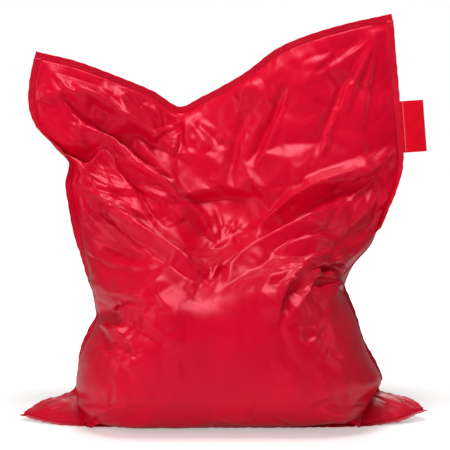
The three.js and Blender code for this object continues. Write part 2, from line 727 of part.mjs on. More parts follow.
// Two leaves joined by the fold at the outer edge.
function label() {
  const { hinge, down, out, toFront } = labelFrame();
  const gap = LABEL_LEAF / 2;
  const half = LABEL_LEAF + gap / 2;
  const profile = new THREE.Shape();
  profile.moveTo(0, -half);
  profile.lineTo(LABEL_WIDTH - half, -half);
  profile.absarc(LABEL_WIDTH - half, 0, half, -Math.PI / 2, Math.PI / 2, false);
  profile.lineTo(0, half);
  profile.lineTo(0, gap / 2);
  profile.lineTo(LABEL_WIDTH - half, gap / 2);
  profile.lineTo(LABEL_WIDTH - half, -gap / 2);
  profile.lineTo(0, -gap / 2);
  profile.closePath();
  const extrusion = { depth: LABEL_LENGTH, bevelEnabled: false, curveSegments: FOLD_STEPS };
  const geometry = new THREE.ExtrudeGeometry(profile, extrusion);
  const mesh = standardMesh("label", geometry, LABEL_RED, 0.5);
  const upright = new THREE.Vector3().crossVectors(down, out);
  mesh.quaternion.setFromRotationMatrix(new THREE.Matrix4().makeBasis(out, upright, down));
  mesh.position.copy(hinge);
  return mesh;
}

// ---- The assembly -------------------------------------------------------------------------------

const bag = new THREE.Group();
bag.name = "bean_bag_chair";
bag.add(
  beadFill(),
  frontPanel(),
  backPanel(),
  ...seamNames.flatMap((which) => [flange(which), stitching(which)]),
  zipTape("zip_tape_upper", 1),
  zipTape("zip_tape_lower", -1),
  zipCoil("zip_coil_upper", 1),
  zipCoil("zip_coil_lower", -1),
  zipStop("zip_stop_left", -1),
  zipStop("zip_stop_right", 1),
  zipSlider(),
  flapRoot(),
  zipFlap(),
  loopStrip(),
  hookStrip(),
  careLabel(),
  label(),
);

// The origin goes on the floor under the middle of the whole bag.
bag.updateMatrixWorld(true);
const box = new THREE.Box3().setFromObject(bag, true);
const centre = box.getCenter(new THREE.Vector3());
bag.position.set(-centre.x, -centre.y, -box.min.z);

export default bag;
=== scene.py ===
"""A large red bean bag chair: the sewn fabric bag, its seams, label, zip and flap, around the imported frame.

The two panels start as smooth surfaces in the shape that the frame holds. The large folds are laid on them,
the cloth simulation lets slightly larger fabric buckle between the folds, and the sharp creases come last.
The seams, stitches and small pieces are built on the result. Metres, +Z up, -Y to the front.
"""

import json

import bpy
import numpy as np
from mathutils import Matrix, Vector
from mathutils.geometry import delaunay_2d_cdt


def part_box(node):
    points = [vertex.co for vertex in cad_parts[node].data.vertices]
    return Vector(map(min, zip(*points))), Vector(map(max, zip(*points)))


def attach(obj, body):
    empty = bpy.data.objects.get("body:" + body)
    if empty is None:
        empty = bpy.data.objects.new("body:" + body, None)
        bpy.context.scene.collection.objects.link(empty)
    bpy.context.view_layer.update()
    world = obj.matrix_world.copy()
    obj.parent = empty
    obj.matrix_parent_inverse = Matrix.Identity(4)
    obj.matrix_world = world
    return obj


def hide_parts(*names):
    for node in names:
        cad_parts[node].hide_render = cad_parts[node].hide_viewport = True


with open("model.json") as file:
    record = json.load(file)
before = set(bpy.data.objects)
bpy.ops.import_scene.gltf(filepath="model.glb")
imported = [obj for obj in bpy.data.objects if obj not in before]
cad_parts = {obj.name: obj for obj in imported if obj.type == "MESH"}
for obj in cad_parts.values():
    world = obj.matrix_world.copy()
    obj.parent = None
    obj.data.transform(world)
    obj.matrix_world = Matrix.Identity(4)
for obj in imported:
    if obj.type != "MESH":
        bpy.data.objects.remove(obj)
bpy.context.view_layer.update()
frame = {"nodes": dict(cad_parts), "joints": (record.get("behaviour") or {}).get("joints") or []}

SEED = 7
MM = 0.001

# ---- Sizes, in metres ----------------------------------------------------------------------------

FLANGE = 20 * MM  # the sewn edge's width
FLANGE_ROOT = 2 * MM  # how far out it starts from the seam
OVERHANG = FLANGE + FLANGE_ROOT
EDGE_ZONE = 45 * MM  # the band along a seam in which the panels part
PUFF = 12 * MM  # how far they have parted at the end of it
ARM_RISE = 165 * MM  # how high the arms beside the seat rise, at an arm_size of one
BACK_FLAT = 0.94  # where the back is flat, as a share of half the depth
TROUGH = 6 * MM  # how high the front panel arches over the bottom flange
LIFT = TROUGH + 1.5 * MM

BACK_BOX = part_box("back_panel")
HALF_WIDTH = (BACK_BOX[1][0] - BACK_BOX[0][0]) / 2
HALF_DEPTH = 0.4
PANEL_HEIGHT = BACK_BOX[1][2]
BACK_FACE = BACK_BOX[1][1]  # the flat part of the back
PATTERN = np.array([1.35, 1.5])  # metres that a share of the panel stands for, across and up

COLUMNS, ROWS = 200, 248  # the panels' grids
COARSE = 2  # the cloth simulation's grid has every second point
NU, NV = COLUMNS + 1, ROWS + 1


# ---- The stood-up bag's shape --------------------------------------------------------------------


def catmull_rom(points, samples=24):
    """A centripetal curve through the points, as a function of the share of its length."""
    p = np.array(points, float)
    ends = [2 * p[0] - p[1], *p, 2 * p[-1] - p[-2]]
    out = []
    for a, b, c, d in zip(ends, ends[1:], ends[2:], ends[3:]):
        dt = [max(np.linalg.norm(y - x) ** 0.5, 1e-6) for x, y in ((a, b), (b, c), (c, d))]
        t1 = (b - a) / dt[0] - (c - a) / (dt[0] + dt[1]) + (c - b) / dt[1]
        t2 = (c - b) / dt[1] - (d - b) / (dt[1] + dt[2]) + (d - c) / dt[2]
        t1, t2 = t1 * dt[1], t2 * dt[1]
        s = np.linspace(0, 1, samples, endpoint=False)[:, None]
        out.append(b + t1 * s + (-3 * b + 3 * c - 2 * t1 - t2) * s**2 + (2 * b - 2 * c + t1 + t2) * s**3)
    line = np.vstack([*out, p[-1:]])
    length = np.concatenate([[0], np.cumsum(np.linalg.norm(np.diff(line, axis=0), axis=1))])
    share = length / length[-1]

    def at(t):
        t = np.asarray(t, float)
        return np.stack([np.interp(t, share, line[:, n]) for n in range(3)], axis=-1)

    at.length = length[-1]
    return at


def outline(*shares):
    """A curve through places given as shares of half the width, half the depth and the height."""
    return catmull_rom([(x * HALF_WIDTH, y * HALF_DEPTH, z * PANEL_HEIGHT) for x, y, z in shares])


ON_FLANGE = LIFT / PANEL_HEIGHT

left_seam = outline(
    (-1, -0.26, 0.015), (-0.92, -0.08, 0.034), (-0.84, 0.02, 0.04), (-0.77, 0.12, 0.055), (-0.76, 0.16, 0.11),
    (-0.74, 0.16, 0.16), (-0.66, 0.12, 0.25), (-0.69, 0.12, 0.3), (-0.72, 0.12, 0.375), (-0.77, 0.12, 0.49),
    (-0.8, 0.12, 0.58), (-0.795, 0.11, 0.63), (-0.89, 0.14, 0.68), (-0.97, 0.18, 0.73), (-1.0, 0.21, 0.79),
    (-0.995, 0.23, 0.84), (-0.97, 0.26, 0.903),
)
right_seam = outline(
    (1, -0.26, 0.025), (0.95, -0.12, 0.042), (0.87, 0.02, 0.045), (0.8, 0.12, 0.055), (0.82, 0.17, 0.09),
    (0.74, 0.17, 0.165), (0.68, 0.12, 0.25), (0.625, 0.08, 0.315), (0.62, 0.02, 0.35), (0.68, 0.03, 0.385),
    (0.78, 0.07, 0.44), (0.85, 0.13, 0.515), (0.9, 0.17, 0.575), (0.925, 0.21, 0.64), (0.905, 0.25, 0.79),
    (0.885, 0.28, 0.9), (0.867, 0.3, 1),
)
bottom_seam = outline(
    (-1, -0.26, 0.015), (-0.85, -0.42, ON_FLANGE + 0.002), (-0.65, -0.5, ON_FLANGE), (0, -0.54, ON_FLANGE),
    (0.65, -0.5, ON_FLANGE), (0.87, -0.4, ON_FLANGE + 0.005), (1, -0.26, 0.025),
)
top_seam = outline(
    (-0.97, 0.26, 0.903), (-0.8, 0.31, 0.884), (-0.63, 0.37, 0.855), (-0.4, 0.48, 0.81), (-0.24, 0.58, 0.768),
    (-0.1, 0.56, 0.796), (0.13, 0.49, 0.857), (0.3, 0.44, 0.918), (0.44, 0.4, 0.948), (0.65, 0.35, 0.978),
    (0.867, 0.3, 1),
)
front_line = outline(
    (0, -0.54, ON_FLANGE), (0, -0.67, 0), (0, -0.83, 0.02), (0, -0.97, 0.085), (0, -1, 0.17),
    (0, -0.97, 0.25), (0, -0.86, 0.305), (0, -0.66, 0.345), (0, -0.36, 0.385), (0, -0.05, 0.425),
    (0, 0.14, 0.48), (0, 0.24, 0.55), (0, 0.34, 0.62), (0, 0.44, 0.69), (0, 0.54, 0.77),
)
back_line = outline(
    (0, -0.54, ON_FLANGE), (0, -0.4, 0), (0, 0, 0), (0, 0.45, 0), (0, 0.8, 0), (0, 0.98, 0.03),
    (0, 1.05, 0.1), (0, 1.06, 0.19), (0, 1.03, 0.29), (0, 0.95, 0.41), (0, 0.86, 0.52),
    (0, 0.76, 0.63), (0, 0.66, 0.72),
    (0, 0.58, 0.77),
)


def knots(*pairs):
    """A function that runs straight from value to value, given as pairs of a place and its value."""
    places, values = zip(*pairs)
    return lambda v: np.interp(v, places, values)


def smooth(x, low, high):
    """Zero up to low, one from high on, and an S between them."""
    t = np.clip((x - low) / (high - low), 0, 1)
    return t * t * (3 - 2 * t)


def unit(vectors):
    return vectors / np.maximum(np.linalg.norm(vectors, axis=-1, keepdims=True), 1e-12)


front_power = knots((0, 6), (0.3, 4), (0.45, 2.8), (0.6, 2.2), (0.8, 1.8), (1, 1.5))
front_root = knots((0, 3), (0.3, 2.2), (0.45, 1.6), (0.6, 1.2), (1, 1))
back_power = knots((0, 4.3), (0.5, 4.3), (0.8, 3), (1, 1.6))
back_root = knots((0, 4), (0.5, 4), (0.8, 2), (1, 1))
middle = knots((0, 0.5), (0.4, 0.49), (0.6, 0.46), (1, 0.42))
body_share = knots((0, 0.66), (0.06, 0.76), (0.12, 0.92), (0.18, 1), (1, 1))
arm_size = knots((0, 0), (0.32, 0), (0.45, 0.16), (0.62, 0.2), (0.78, 0.1), (0.9, 0), (1, 0))


def fullness(u, v, power, root):
    """How far a panel stands out from the line between its side seams: one in the middle, zero at both."""
    centre = middle(v)
    side = np.where(u < centre, (centre - u) / centre, (u - centre) / (1 - centre))
    s = np.clip(side / body_share(v), 0, 1)
    return np.clip(1 - s ** power(v), 0, 1) ** (1 / root(v))


U, V = np.meshgrid(np.linspace(0, 1, NU), np.linspace(0, 1, NV))
FROM_SEAM = np.minimum(np.minimum(U, 1 - U) * PATTERN[0], np.minimum(V, 1 - V) * PATTERN[1])


TOP_BLEND, BOTTOM_BLEND = 0.78, 0.06  # above and below these shares a panel goes over into its end seams
LYING = (0.12, 0.2)  # how far up it goes over from lying on the floor to standing
LYING_BACK, LYING_UP = 0.5, 0.85  # how much less it puffs forwards and how much more upwards where it lies


def panel(side):
    """The grid of one panel's points: side -1 is the front, 1 the back."""
    is_front = side < 0
    power, root, line_of = (
        (front_power, front_root, front_line) if is_front else (back_power, back_root, back_line)
    )
    left, right, line = left_seam(V), right_seam(V), line_of(V)
    full = fullness(U, V, power, root)
    point = left + (right - left) * U[..., None]
    chord_middle = left + (right - left) * middle(V)[..., None]
    point[..., 1:] += full[..., None] * (line - chord_middle)[..., 1:]
    if is_front:
        half = np.where(U < middle(V), U / middle(V), (1 - U) / (1 - middle(V)))
        swell = arm_size(V) * np.sin(np.pi * half) ** 2
        point[..., 1] -= swell * HALF_DEPTH
        point[..., 2] += swell * ARM_RISE
    at_top, at_bottom = smooth(V, TOP_BLEND, 1), 1 - smooth(V, 0, BOTTOM_BLEND)
    for seam, end, amount in ((top_seam, 1, at_top), (bottom_seam, 0, at_bottom)):
        a, b = left_seam(end), right_seam(end)
        row = a + (b - a) * U[..., None]
        row_middle = a + (b - a) * middle(end)
        row[..., 1:] += fullness(U, end, power, root)[..., None] * (line_of(end) - row_middle)[1:]
        point += amount[..., None] * (seam(U) - row)
    wide = np.linalg.norm(right - left, axis=-1)
    inside = smooth(np.minimum(U, 1 - U) * wide, 0, EDGE_ZONE)
    inside *= smooth(np.minimum(V, 1 - V) * left_seam.length, 0, EDGE_ZONE)
    lying = 1 - smooth(V, *LYING)
    puff_way = np.stack([0 * U, -(1 - LYING_BACK * lying), LYING_UP * lying], axis=-1)
    point -= side * (puff_way * (PUFF * inside)[..., None])
    point[..., 1] = np.minimum(point[..., 1], BACK_FLAT * HALF_DEPTH)
    over_flange = (V * left_seam.length < 2 * FLANGE) & is_front
    point[..., 2] = np.maximum(point[..., 2], np.where(over_flange | (V == 0), LIFT, 0))
    return point


smooth_front, smooth_back = panel(-1), panel(1)
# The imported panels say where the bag's middle is.
low_x = min(smooth_front[..., 0].min(), smooth_back[..., 0].min())
shift = np.array([BACK_BOX[0][0] - low_x, BACK_FACE - smooth_back[..., 1].max(), 0])
smooth_front += shift
smooth_back += shift


# ---- Folds ---------------------------------------------------------------------------------------

# Every fold: its line on the panel as shares (across, up); its height in millimetres, below zero for a
# valley; and the width of its slopes on the left and on the right of the line as it runs.
FRONT_FOLDS = [
    # the two long ridges that meet in a V below the seat
    [(0.02, 0.69), (0.10, 0.68), (0.17, 0.64), (0.26, 0.58), (0.35, 0.51), (0.46, 0.455), 52, 54, 24],
    [(0.85, 0.67), (0.77, 0.65), (0.70, 0.62), (0.60, 0.57), (0.53, 0.51), (0.46, 0.455), 46, 62, 20],
    [(0.975, 0.71), (0.86, 0.71), (0.75, 0.705), (0.66, 0.685), (0.59, 0.62), (0.52, 0.55), (0.47, 0.47),
     -30, 16, 26],
    # the inner V, under the hips
    [(0.975, 0.725), (0.88, 0.735), (0.79, 0.735), (0.71, 0.73), (0.65, 0.71), (0.58, 0.67), (0.51, 0.64),
     30, 14, 34],
    [(0.09, 0.895), (0.16, 0.88), (0.22, 0.865), (0.265, 0.815), (0.315, 0.77), (0.35, 0.735), (0.46, 0.64),
     40, 46, 16],
    [(0.21, 0.845), (0.235, 0.78), (0.24, 0.71), (0.30, 0.66), -24, 30, 30],
    [(0.36, 0.70), (0.40, 0.675), (0.455, 0.645), -12, 8, 8],
    # the left wing
    [(0.02, 0.91), (0.08, 0.945), (0.14, 0.953), (0.19, 0.947), (0.25, 0.93), (0.31, 0.915), (0.37, 0.90),
     (0.43, 0.875), 34, 40, 22],
    [(0.08, 0.925), (0.18, 0.895), (0.28, 0.86), (0.35, 0.80), -22, 30, 34],
    [(0.33, 0.995), (0.39, 0.985), (0.44, 0.925), (0.45, 0.88), 24, 12, 26],
    [(0.245, 0.99), (0.29, 0.967), (0.35, 0.95), -14, 12, 20],
    [(0.245, 0.99), (0.21, 0.955), 10, 10, 10],
    [(0.05, 0.975), (0.12, 0.975), (0.17, 0.972), (0.20, 0.96), -12, 8, 10],
    [(0.075, 0.89), (0.10, 0.872), (0.14, 0.870), (0.18, 0.862), 16, 8, 9],
    [(0.0, 0.80), (0.07, 0.80), (0.10, 0.805), (0.145, 0.835), (0.185, 0.852), -46, 26, 22],
    [(0.185, 0.845), (0.14, 0.756), -14, 12, 16],
    [(0.165, 0.84), (0.05, 0.735), (0.015, 0.695), 16, 12, 12],
    # the left side of the body and the waist
    [(0.05, 0.57), (0.145, 0.55), (0.245, 0.53), -12, 22, 16],
    [(0.05, 0.50), (0.18, 0.485), (0.25, 0.49), -13, 22, 16],
    [(0.05, 0.44), (0.16, 0.40), (0.26, 0.385), -12, 20, 14],
    [(0.0, 0.365), (0.068, 0.361), (0.10, 0.34), -40, 18, 12],
    [(0.02, 0.335), (0.12, 0.325), (0.205, 0.283), 16, 14, 8],
    [(0.11, 0.35), (0.20, 0.33), (0.285, 0.30), -11, 14, 10],
    [(0.215, 0.345), (0.28, 0.32), (0.36, 0.29), 10, 16, 8],
    [(0.29, 0.365), (0.315, 0.325), (0.37, 0.29), 9, 16, 8],
    [(0.125, 0.285), (0.21, 0.256), (0.305, 0.215), 10, 16, 8],
    [(0.07, 0.315), (0.145, 0.295), (0.205, 0.28), -12, 8, 10],
    # the right pinch, with the roll above it and the leaf-shaped fold below
    [(1.0, 0.42), (0.97, 0.43), (0.90, 0.455), (0.82, 0.475), -60, 26, 22],
    [(0.64, 0.555), (0.71, 0.57), (0.78, 0.567), (0.84, 0.545), 22, 26, 20],
    [(0.66, 0.535), (0.74, 0.53), (0.82, 0.525), -14, 10, 10],
    [(0.66, 0.522), (0.74, 0.515), (0.82, 0.508), 10, 8, 14],
    [(0.80, 0.485), (0.77, 0.45), (0.75, 0.395), (0.69, 0.33), 18, 10, 18],
    [(0.84, 0.465), (0.845, 0.40), (0.77, 0.353), (0.70, 0.315), 20, 10, 20],
    [(0.80, 0.44), (0.77, 0.39), (0.72, 0.345), -12, 12, 12],
    [(0.90, 0.45), (0.955, 0.40), (0.91, 0.365), (0.86, 0.36), 22, 10, 10],
    [(0.97, 0.36), (0.87, 0.342), 10, 8, 14],
    [(0.92, 0.322), (0.80, 0.306), 10, 8, 14],
    [(0.845, 0.30), (0.785, 0.275), (0.725, 0.262), 10, 8, 14],
    [(0.97, 0.23), (0.88, 0.228), (0.76, 0.21), 8, 8, 14],
    [(0.92, 0.10), (0.88, 0.125), (0.85, 0.117), (0.80, 0.09), 16, 14, 20],
    # the seat and the backrest
    [(0.34, 0.745), (0.41, 0.765), (0.475, 0.77), (0.54, 0.762), (0.61, 0.745), -24, 24, 16],
    [(0.35, 0.605), (0.41, 0.622), (0.457, 0.638), (0.52, 0.634), (0.585, 0.62), -9, 8, 10],
    [(0.715, 0.94), (0.685, 0.905), (0.645, 0.87), (0.585, 0.83), -24, 24, 26],
    [(0.88, 0.925), (0.845, 0.88), (0.805, 0.84), (0.765, 0.795), -18, 22, 12],
    [(0.77, 0.96), (0.78, 0.915), (0.795, 0.865), 12, 8, 18],
    [(0.59, 0.935), (0.56, 0.87), (0.51, 0.79), -16, 26, 26],
    [(0.69, 0.84), (0.70, 0.80), (0.71, 0.75), 12, 8, 18],
    [(0.56, 0.985), (0.62, 0.972), (0.655, 0.94), (0.665, 0.905), 16, 20, 8],
    [(0.58, 0.82), (0.59, 0.775), (0.605, 0.745), 10, 10, 16],
    [(0.775, 0.965), (0.857, 0.970), (0.95, 0.972), -10, 8, 8],
    [(0.825, 0.955), (0.886, 0.953), (0.915, 0.953), -6, 6, 6],
    [(0.965, 0.70), (0.957, 0.63), (0.975, 0.54), -12, 12, 12],
    [(0.97, 0.72), (0.91, 0.712), (0.815, 0.71), 14, 8, 12],
]

BACK_FOLDS = [
    # from the two waists towards the middle of the back
    [(0.02, 0.36), (0.14, 0.40), (0.28, 0.46), (0.40, 0.50), 20, 30, 26],
    [(0.98, 0.42), (0.86, 0.45), (0.72, 0.50), (0.58, 0.53), 20, 26, 30],
    [(0.02, 0.34), (0.12, 0.33), (0.20, 0.335), -14, 16, 16],
    [(0.99, 0.40), (0.90, 0.38), (0.80, 0.375), -16, 16, 16],
    # from the shoulders up and down
    [(0.02, 0.69), (0.12, 0.72), (0.24, 0.76), (0.36, 0.82), 26, 36, 24],
    [(0.02, 0.66), (0.14, 0.62), (0.28, 0.60), (0.40, 0.60), -16, 22, 26],
    [(0.98, 0.70), (0.86, 0.72), (0.74, 0.75), (0.60, 0.81), 22, 30, 24],
    [(0.98, 0.64), (0.84, 0.62), (0.70, 0.61), (0.58, 0.62), -14, 22, 26],
    # from the dip of the top seam
    [(0.40, 0.99), (0.36, 0.90), (0.31, 0.80), (0.29, 0.70), 18, 20, 30],
    [(0.42, 0.99), (0.44, 0.88), (0.46, 0.76), -20, 24, 24],
    [(0.44, 0.99), (0.52, 0.90), (0.60, 0.80), (0.64, 0.70), 20, 28, 20],
    [(0.06, 0.97), (0.16, 0.92), (0.26, 0.86), 18, 24, 18],
    [(0.94, 0.97), (0.84, 0.90), (0.76, 0.82), 18, 18, 24],
    [(0.80, 0.98), (0.74, 0.90), (0.70, 0.80), -14, 20, 20],
]

# Where creases spread from: the place, the middle direction and the spread in degrees (0 is across to the
# right, 90 is up), how many there are, and how far they reach and how tall they are in millimetres.
FRONT_FANS = [
    [(0.015, 0.695), -18, 60, 12, 330, 9],
    [(0.19, 0.855), -150, 70, 10, 150, 8],
    [(0.19, 0.850), -50, 40, 8, 330, 9],
    [(0.985, 0.425), 160, 66, 12, 270, 9],
    [(0.82, 0.475), 195, 60, 8, 210, 8],
    [(0.015, 0.355), -5, 62, 12, 260, 8],
    [(0.46, 0.455), 90, 60, 6, 200, 5],
    [(0.46, 0.64), 90, 120, 8, 170, 6],
    [(0.98, 0.715), 182, 34, 10, 360, 8],
    [(0.42, 0.99), -95, 110, 12, 280, 8],
    [(0.02, 0.98), -38, 50, 8, 240, 6],
    [(0.98, 0.98), -135, 62, 9, 300, 7],
    [(0.11, 0.12), 35, 90, 8, 170, 6],
    [(0.89, 0.12), 145, 90, 8, 170, 6],
    [(0.03, 0.01), 30, 50, 6, 160, 5],
    [(0.97, 0.01), 150, 50, 6, 160, 5],
    [(0.13, 0.28), -20, 60, 8, 190, 6],
    [(0.88, 0.30), 195, 60, 8, 190, 6],
]
BACK_FANS = [
    [(0.015, 0.355), 0, 80, 14, 320, 9],
    [(0.985, 0.425), 180, 80, 14, 320, 9],
    [(0.015, 0.69), 0, 80, 14, 360, 9],
    [(0.985, 0.70), 180, 80, 14, 360, 9],
    [(0.42, 0.99), -90, 120, 16, 360, 9],
    [(0.02, 0.98), -45, 50, 9, 260, 7],
    [(0.98, 0.98), -135, 50, 9, 260, 7],
    [(0.10, 0.10), 50, 80, 8, 200, 6],
    [(0.90, 0.10), 130, 80, 8, 200, 6],
]
FAN_TURN, FAN_BEND = 3, 7  # the spread of a crease's direction and of its bend, in degrees
FAN_START, FAN_END = (0.04, 0.3), (0.5, 1.15)  # between which shares of the reach it starts and ends
FAN_NARROW, FAN_WIDE = (5, 9), (9, 20)  # the widths of its two slopes, in millimetres
FAN_HEIGHT = (0.5, 1)  # its height, as a share of the tallest


def fan(rows, seed):
    """The straight, sharp creases that spread from pinched places, as folds."""
    random = np.random.default_rng(seed)
    out = []
    for centre, direction, spread, count, reach, tall in rows:
        for n in range(count):
            angle = np.radians(direction + spread * ((n + 0.5) / count - 0.5) + random.normal(0, FAN_TURN))
            start, end = reach * random.uniform(*FAN_START), reach * random.uniform(*FAN_END)
            bend = np.radians(random.normal(0, FAN_BEND))
            points = []
            for t in (0, 0.5, 1):
                r = (start + (end - start) * t) * MM
                a = angle + bend * t
                points.append(tuple(np.array(centre) + r * np.array([np.cos(a), np.sin(a)]) / PATTERN))
            height = tall * random.uniform(*FAN_HEIGHT) * (1 if n % 2 else -1)
            narrow, wide = random.uniform(*FAN_NARROW), random.uniform(*FAN_WIDE)
            sides = (narrow, wide) if random.random() < 0.5 else (wide, narrow)
            out.append([*points, height, *sides])
    return out


INSIDE = (0.02, 0.98)  # the shares across and up a panel between which creases and feet lie
CREASES = 60  # how many are scattered over a panel
CREASE_CENTRE = (0.46, 0.5, 0.25)  # where they point: across, up, and up for those in the lowest part
CREASE_LOW = 0.3  # where that part ends, as a share up the panel
CREASE_TURN, CREASE_BOW = 0.55, 0.18  # the spread of their directions in radians, and of their bows
CREASE_LENGTH, CREASE_HEIGHT = (35, 150), (1.5, 5)  # in millimetres, as are the widths of their two slopes
CREASE_NARROW, CREASE_WIDE = (4, 7), (7, 15)


def creases(count, calm, seed):
    """Short creases scattered over a panel. They run towards the middle of the bag, and there are few
    where calm (a function of the place) is near one."""
    random = np.random.default_rng(seed)
    out = []
    while len(out) < count:
        u, v = random.uniform(*INSIDE), random.uniform(*INSIDE)
        if random.random() < calm(u, v):
            continue
        across, up, low_up = CREASE_CENTRE
        target = np.array([across, up if v > CREASE_LOW else low_up]) - (u, v)
        angle = np.arctan2(target[1] * PATTERN[1], target[0] * PATTERN[0]) + random.normal(0, CREASE_TURN)
        length = random.uniform(*CREASE_LENGTH) * MM
        step = np.array([np.cos(angle), np.sin(angle)]) * length / PATTERN / 2
        side = np.array([-step[1], step[0]]) * random.normal(0, CREASE_BOW)
        place = np.array([u, v])
        height = random.uniform(*CREASE_HEIGHT) * random.choice([1, -1])
        narrow, wide = random.uniform(*CREASE_NARROW), random.uniform(*CREASE_WIDE)
        out.append([tuple(place - step), tuple(place + side), tuple(place + step), height, narrow, wide])
    return out


def grid_normals(points):
    du = np.gradient(points, axis=1)
    dv = np.gradient(points, axis=0)
    return unit(np.cross(du, dv))


CRUMPLE_WAVES = 14
CRUMPLE_SCALES = (0.6, 1.6)  # each wave's own scale, as a share of the noise's
CRUMPLE_FADE, FACET_FADE = 60 * MM, 30 * MM  # the bands along the seams in which noise and facets fade


def crumple(scale, seed):
    """Soft noise over a panel, from sums of sine waves that run in seeded directions."""
    random = np.random.default_rng(seed)
    total = np.zeros(U.shape)
    for _ in range(CRUMPLE_WAVES):
        angle, phase = random.uniform(0, np.pi), random.uniform(0, 2 * np.pi)
        k = scale * random.uniform(*CRUMPLE_SCALES)
        total += np.sin(k * (np.cos(angle) * U * PATTERN[0] + np.sin(angle) * V * PATTERN[1]) + phase)
    return total / CRUMPLE_WAVES * smooth(FROM_SEAM, 0, CRUMPLE_FADE)


RIM_POINTS = 30  # fixed points on each edge of a panel
MERGE = 1e-7  # places nearer than this are one
ROUNDING = 1e-6


def faceted(places, heights, edges=()):
    """The height of each point of a panel's grid on flat triangles between the places, which are in metres
    on the panel. Every edge, a pair of places, is kept as a side of triangles."""
    border = np.linspace(0, 1, RIM_POINTS)
    rim = [(a, b) for a in border for b in (0, 1)] + [(a, b) for a in (0, 1) for b in border[1:-1]]
    places = np.vstack([places, np.array(rim) * PATTERN])
    heights = np.concatenate([heights, np.zeros(len(rim))])
    flat_places = [Vector(p) for p in places]
    corners, _, triangles, source, _, _ = delaunay_2d_cdt(flat_places, list(edges), [], 0, MERGE)
    corners = np.array([tuple(c) for c in corners])
    levels = []
    for corner, found in zip(corners, source):
        if found:
            levels.append(heights[found].mean())
        else:  # two edges cross here
            near = np.hypot(*(places - corner).T)
            closest = np.argsort(near)[:4]
            levels.append(np.average(heights[closest], weights=1 / np.maximum(near[closest], MM)))
    out = np.zeros(U.shape)
    x, y = U * PATTERN[0], V * PATTERN[1]
    for triangle in triangles:
        a, b, c = (corners[n] for n in triangle)
        low, high = np.min([a, b, c], axis=0) / PATTERN, np.max([a, b, c], axis=0) / PATTERN
        columns = slice(int(low[0] * COLUMNS), int(high[0] * COLUMNS) + 2)
        rows = slice(int(low[1] * ROWS), int(high[1] * ROWS) + 2)
        px, py = x[rows, columns] - a[0], y[rows, columns] - a[1]
        (bx, by), (cx, cy) = b - a, c - a
        whole = bx * cy - by * cx
        s, t = (px * cy - py * cx) / whole, (bx * py - by * px) / whole
        inside = (s >= -ROUNDING) & (t >= -ROUNDING) & (s + t <= 1 + ROUNDING)
        ha, hb, hc = (levels[n] for n in triangle)
        out[rows, columns][inside] = (ha + s * (hb - ha) + t * (hc - ha))[inside]
    return out * smooth(FROM_SEAM, 0, FACET_FADE)


FACETS_INSIDE = (0.03, 0.97)


def facets(spacing, tall, calm, seed):
    """Crisp flat facets, as stiff thin fabric makes them, between scattered points."""
    random = np.random.default_rng(seed)
    count = int(PATTERN[0] * PATTERN[1] / spacing**2)
    places = random.uniform(*FACETS_INSIDE, (count, 2)) * PATTERN
    return faceted(places, random.normal(0, 1, count) * tall * (1 - calm(*(places / PATTERN).T)))


TAPER = 0.3  # the share of a fold's length over which it fades at either end
END_HEIGHT = 0.15  # what is left of its height there
CREST_STEP = 55 * MM  # the spacing of the points along its crest
CREST_GAIN = 1.15  # crests are this much higher than the folds say
FOOT_REACH = 1.2  # how far the feet of a fold's slopes lie from its crest, as a share of its given width
FOOT_ROUGH = 0.3  # how uneven the feet are, as a share of the ground's height
CREST_GAP, FOOT_GAP = 18 * MM, 24 * MM  # how near a foot may come to a crest, and to any other point
OPEN_STEP = 80 * MM  # the spacing of the points where there is no fold
OPEN_JITTER, OPEN_GAP = 0.4, 0.6  # how far they are moved, and how near they may come, as shares of it


def folded(folds, tall, calm, seed):
    """How far folds move each point of a panel: flat faces between the folds' crests, the feet of their
    slopes, and points on the open ground, which are about tall high or deep where it isn't calm. Each point
    is then averaged with its neighbours."""
    random = np.random.default_rng(seed)
    places, heights, edges, feet = [], [], [], []
    for *line, crest, left_width, right_width in folds:
        line = np.column_stack([np.array(line) * PATTERN, np.zeros(len(line))])
        curve = catmull_rom(line)
        t = np.linspace(0, 1, max(4, round(curve.length / CREST_STEP) + 1))
        points = curve(t)[:, :2]
        fade = smooth(t, 0, TAPER) * (1 - smooth(t, 1 - TAPER, 1))
        first = len(places)
        edges += [(first + n, first + n + 1) for n in range(len(t) - 1)]
        places += list(points)
        heights += list(CREST_GAIN * crest * MM * (END_HEIGHT + (1 - END_HEIGHT) * fade))
        along = unit(np.gradient(points, axis=0))
        left = np.stack([-along[:, 1], along[:, 0]], axis=-1)
        for n in range(len(t)):
            feet.append(points[n] + left[n] * left_width * MM * FOOT_REACH)
            feet.append(points[n] - left[n] * right_width * MM * FOOT_REACH)
    crests = np.array(places)

    def clear(point, others, gap):
        return np.hypot(*(np.array(others) - point).T).min() > gap

    for foot in feet:
        inside = (foot > INSIDE[0] * PATTERN).all() and (foot < INSIDE[1] * PATTERN).all()
        if inside and clear(foot, crests, CREST_GAP) and clear(foot, places, FOOT_GAP):
            places.append(foot)
            heights.append(random.normal(0, FOOT_ROUGH) * tall)
    for x in np.arange(OPEN_STEP, PATTERN[0] - OPEN_STEP / 2, OPEN_STEP):
        for y in np.arange(OPEN_STEP, PATTERN[1] - OPEN_STEP / 2, OPEN_STEP):
            point = np.array([x, y]) + random.uniform(-OPEN_JITTER, OPEN_JITTER, 2) * OPEN_STEP
            if clear(point, places, OPEN_GAP * OPEN_STEP):
                places.append(point)
                heights.append(random.normal(0, 1) * tall * (1 - calm(*(point / PATTERN))))
    height = faceted(np.array(places), np.array(heights), edges)
    around = np.pad(height, 1, mode="edge")
    return height / 2 + (around[:-2, 1:-1] + around[2:, 1:-1] + around[1:-1, :-2] + around[1:-1, 2:]) / 8


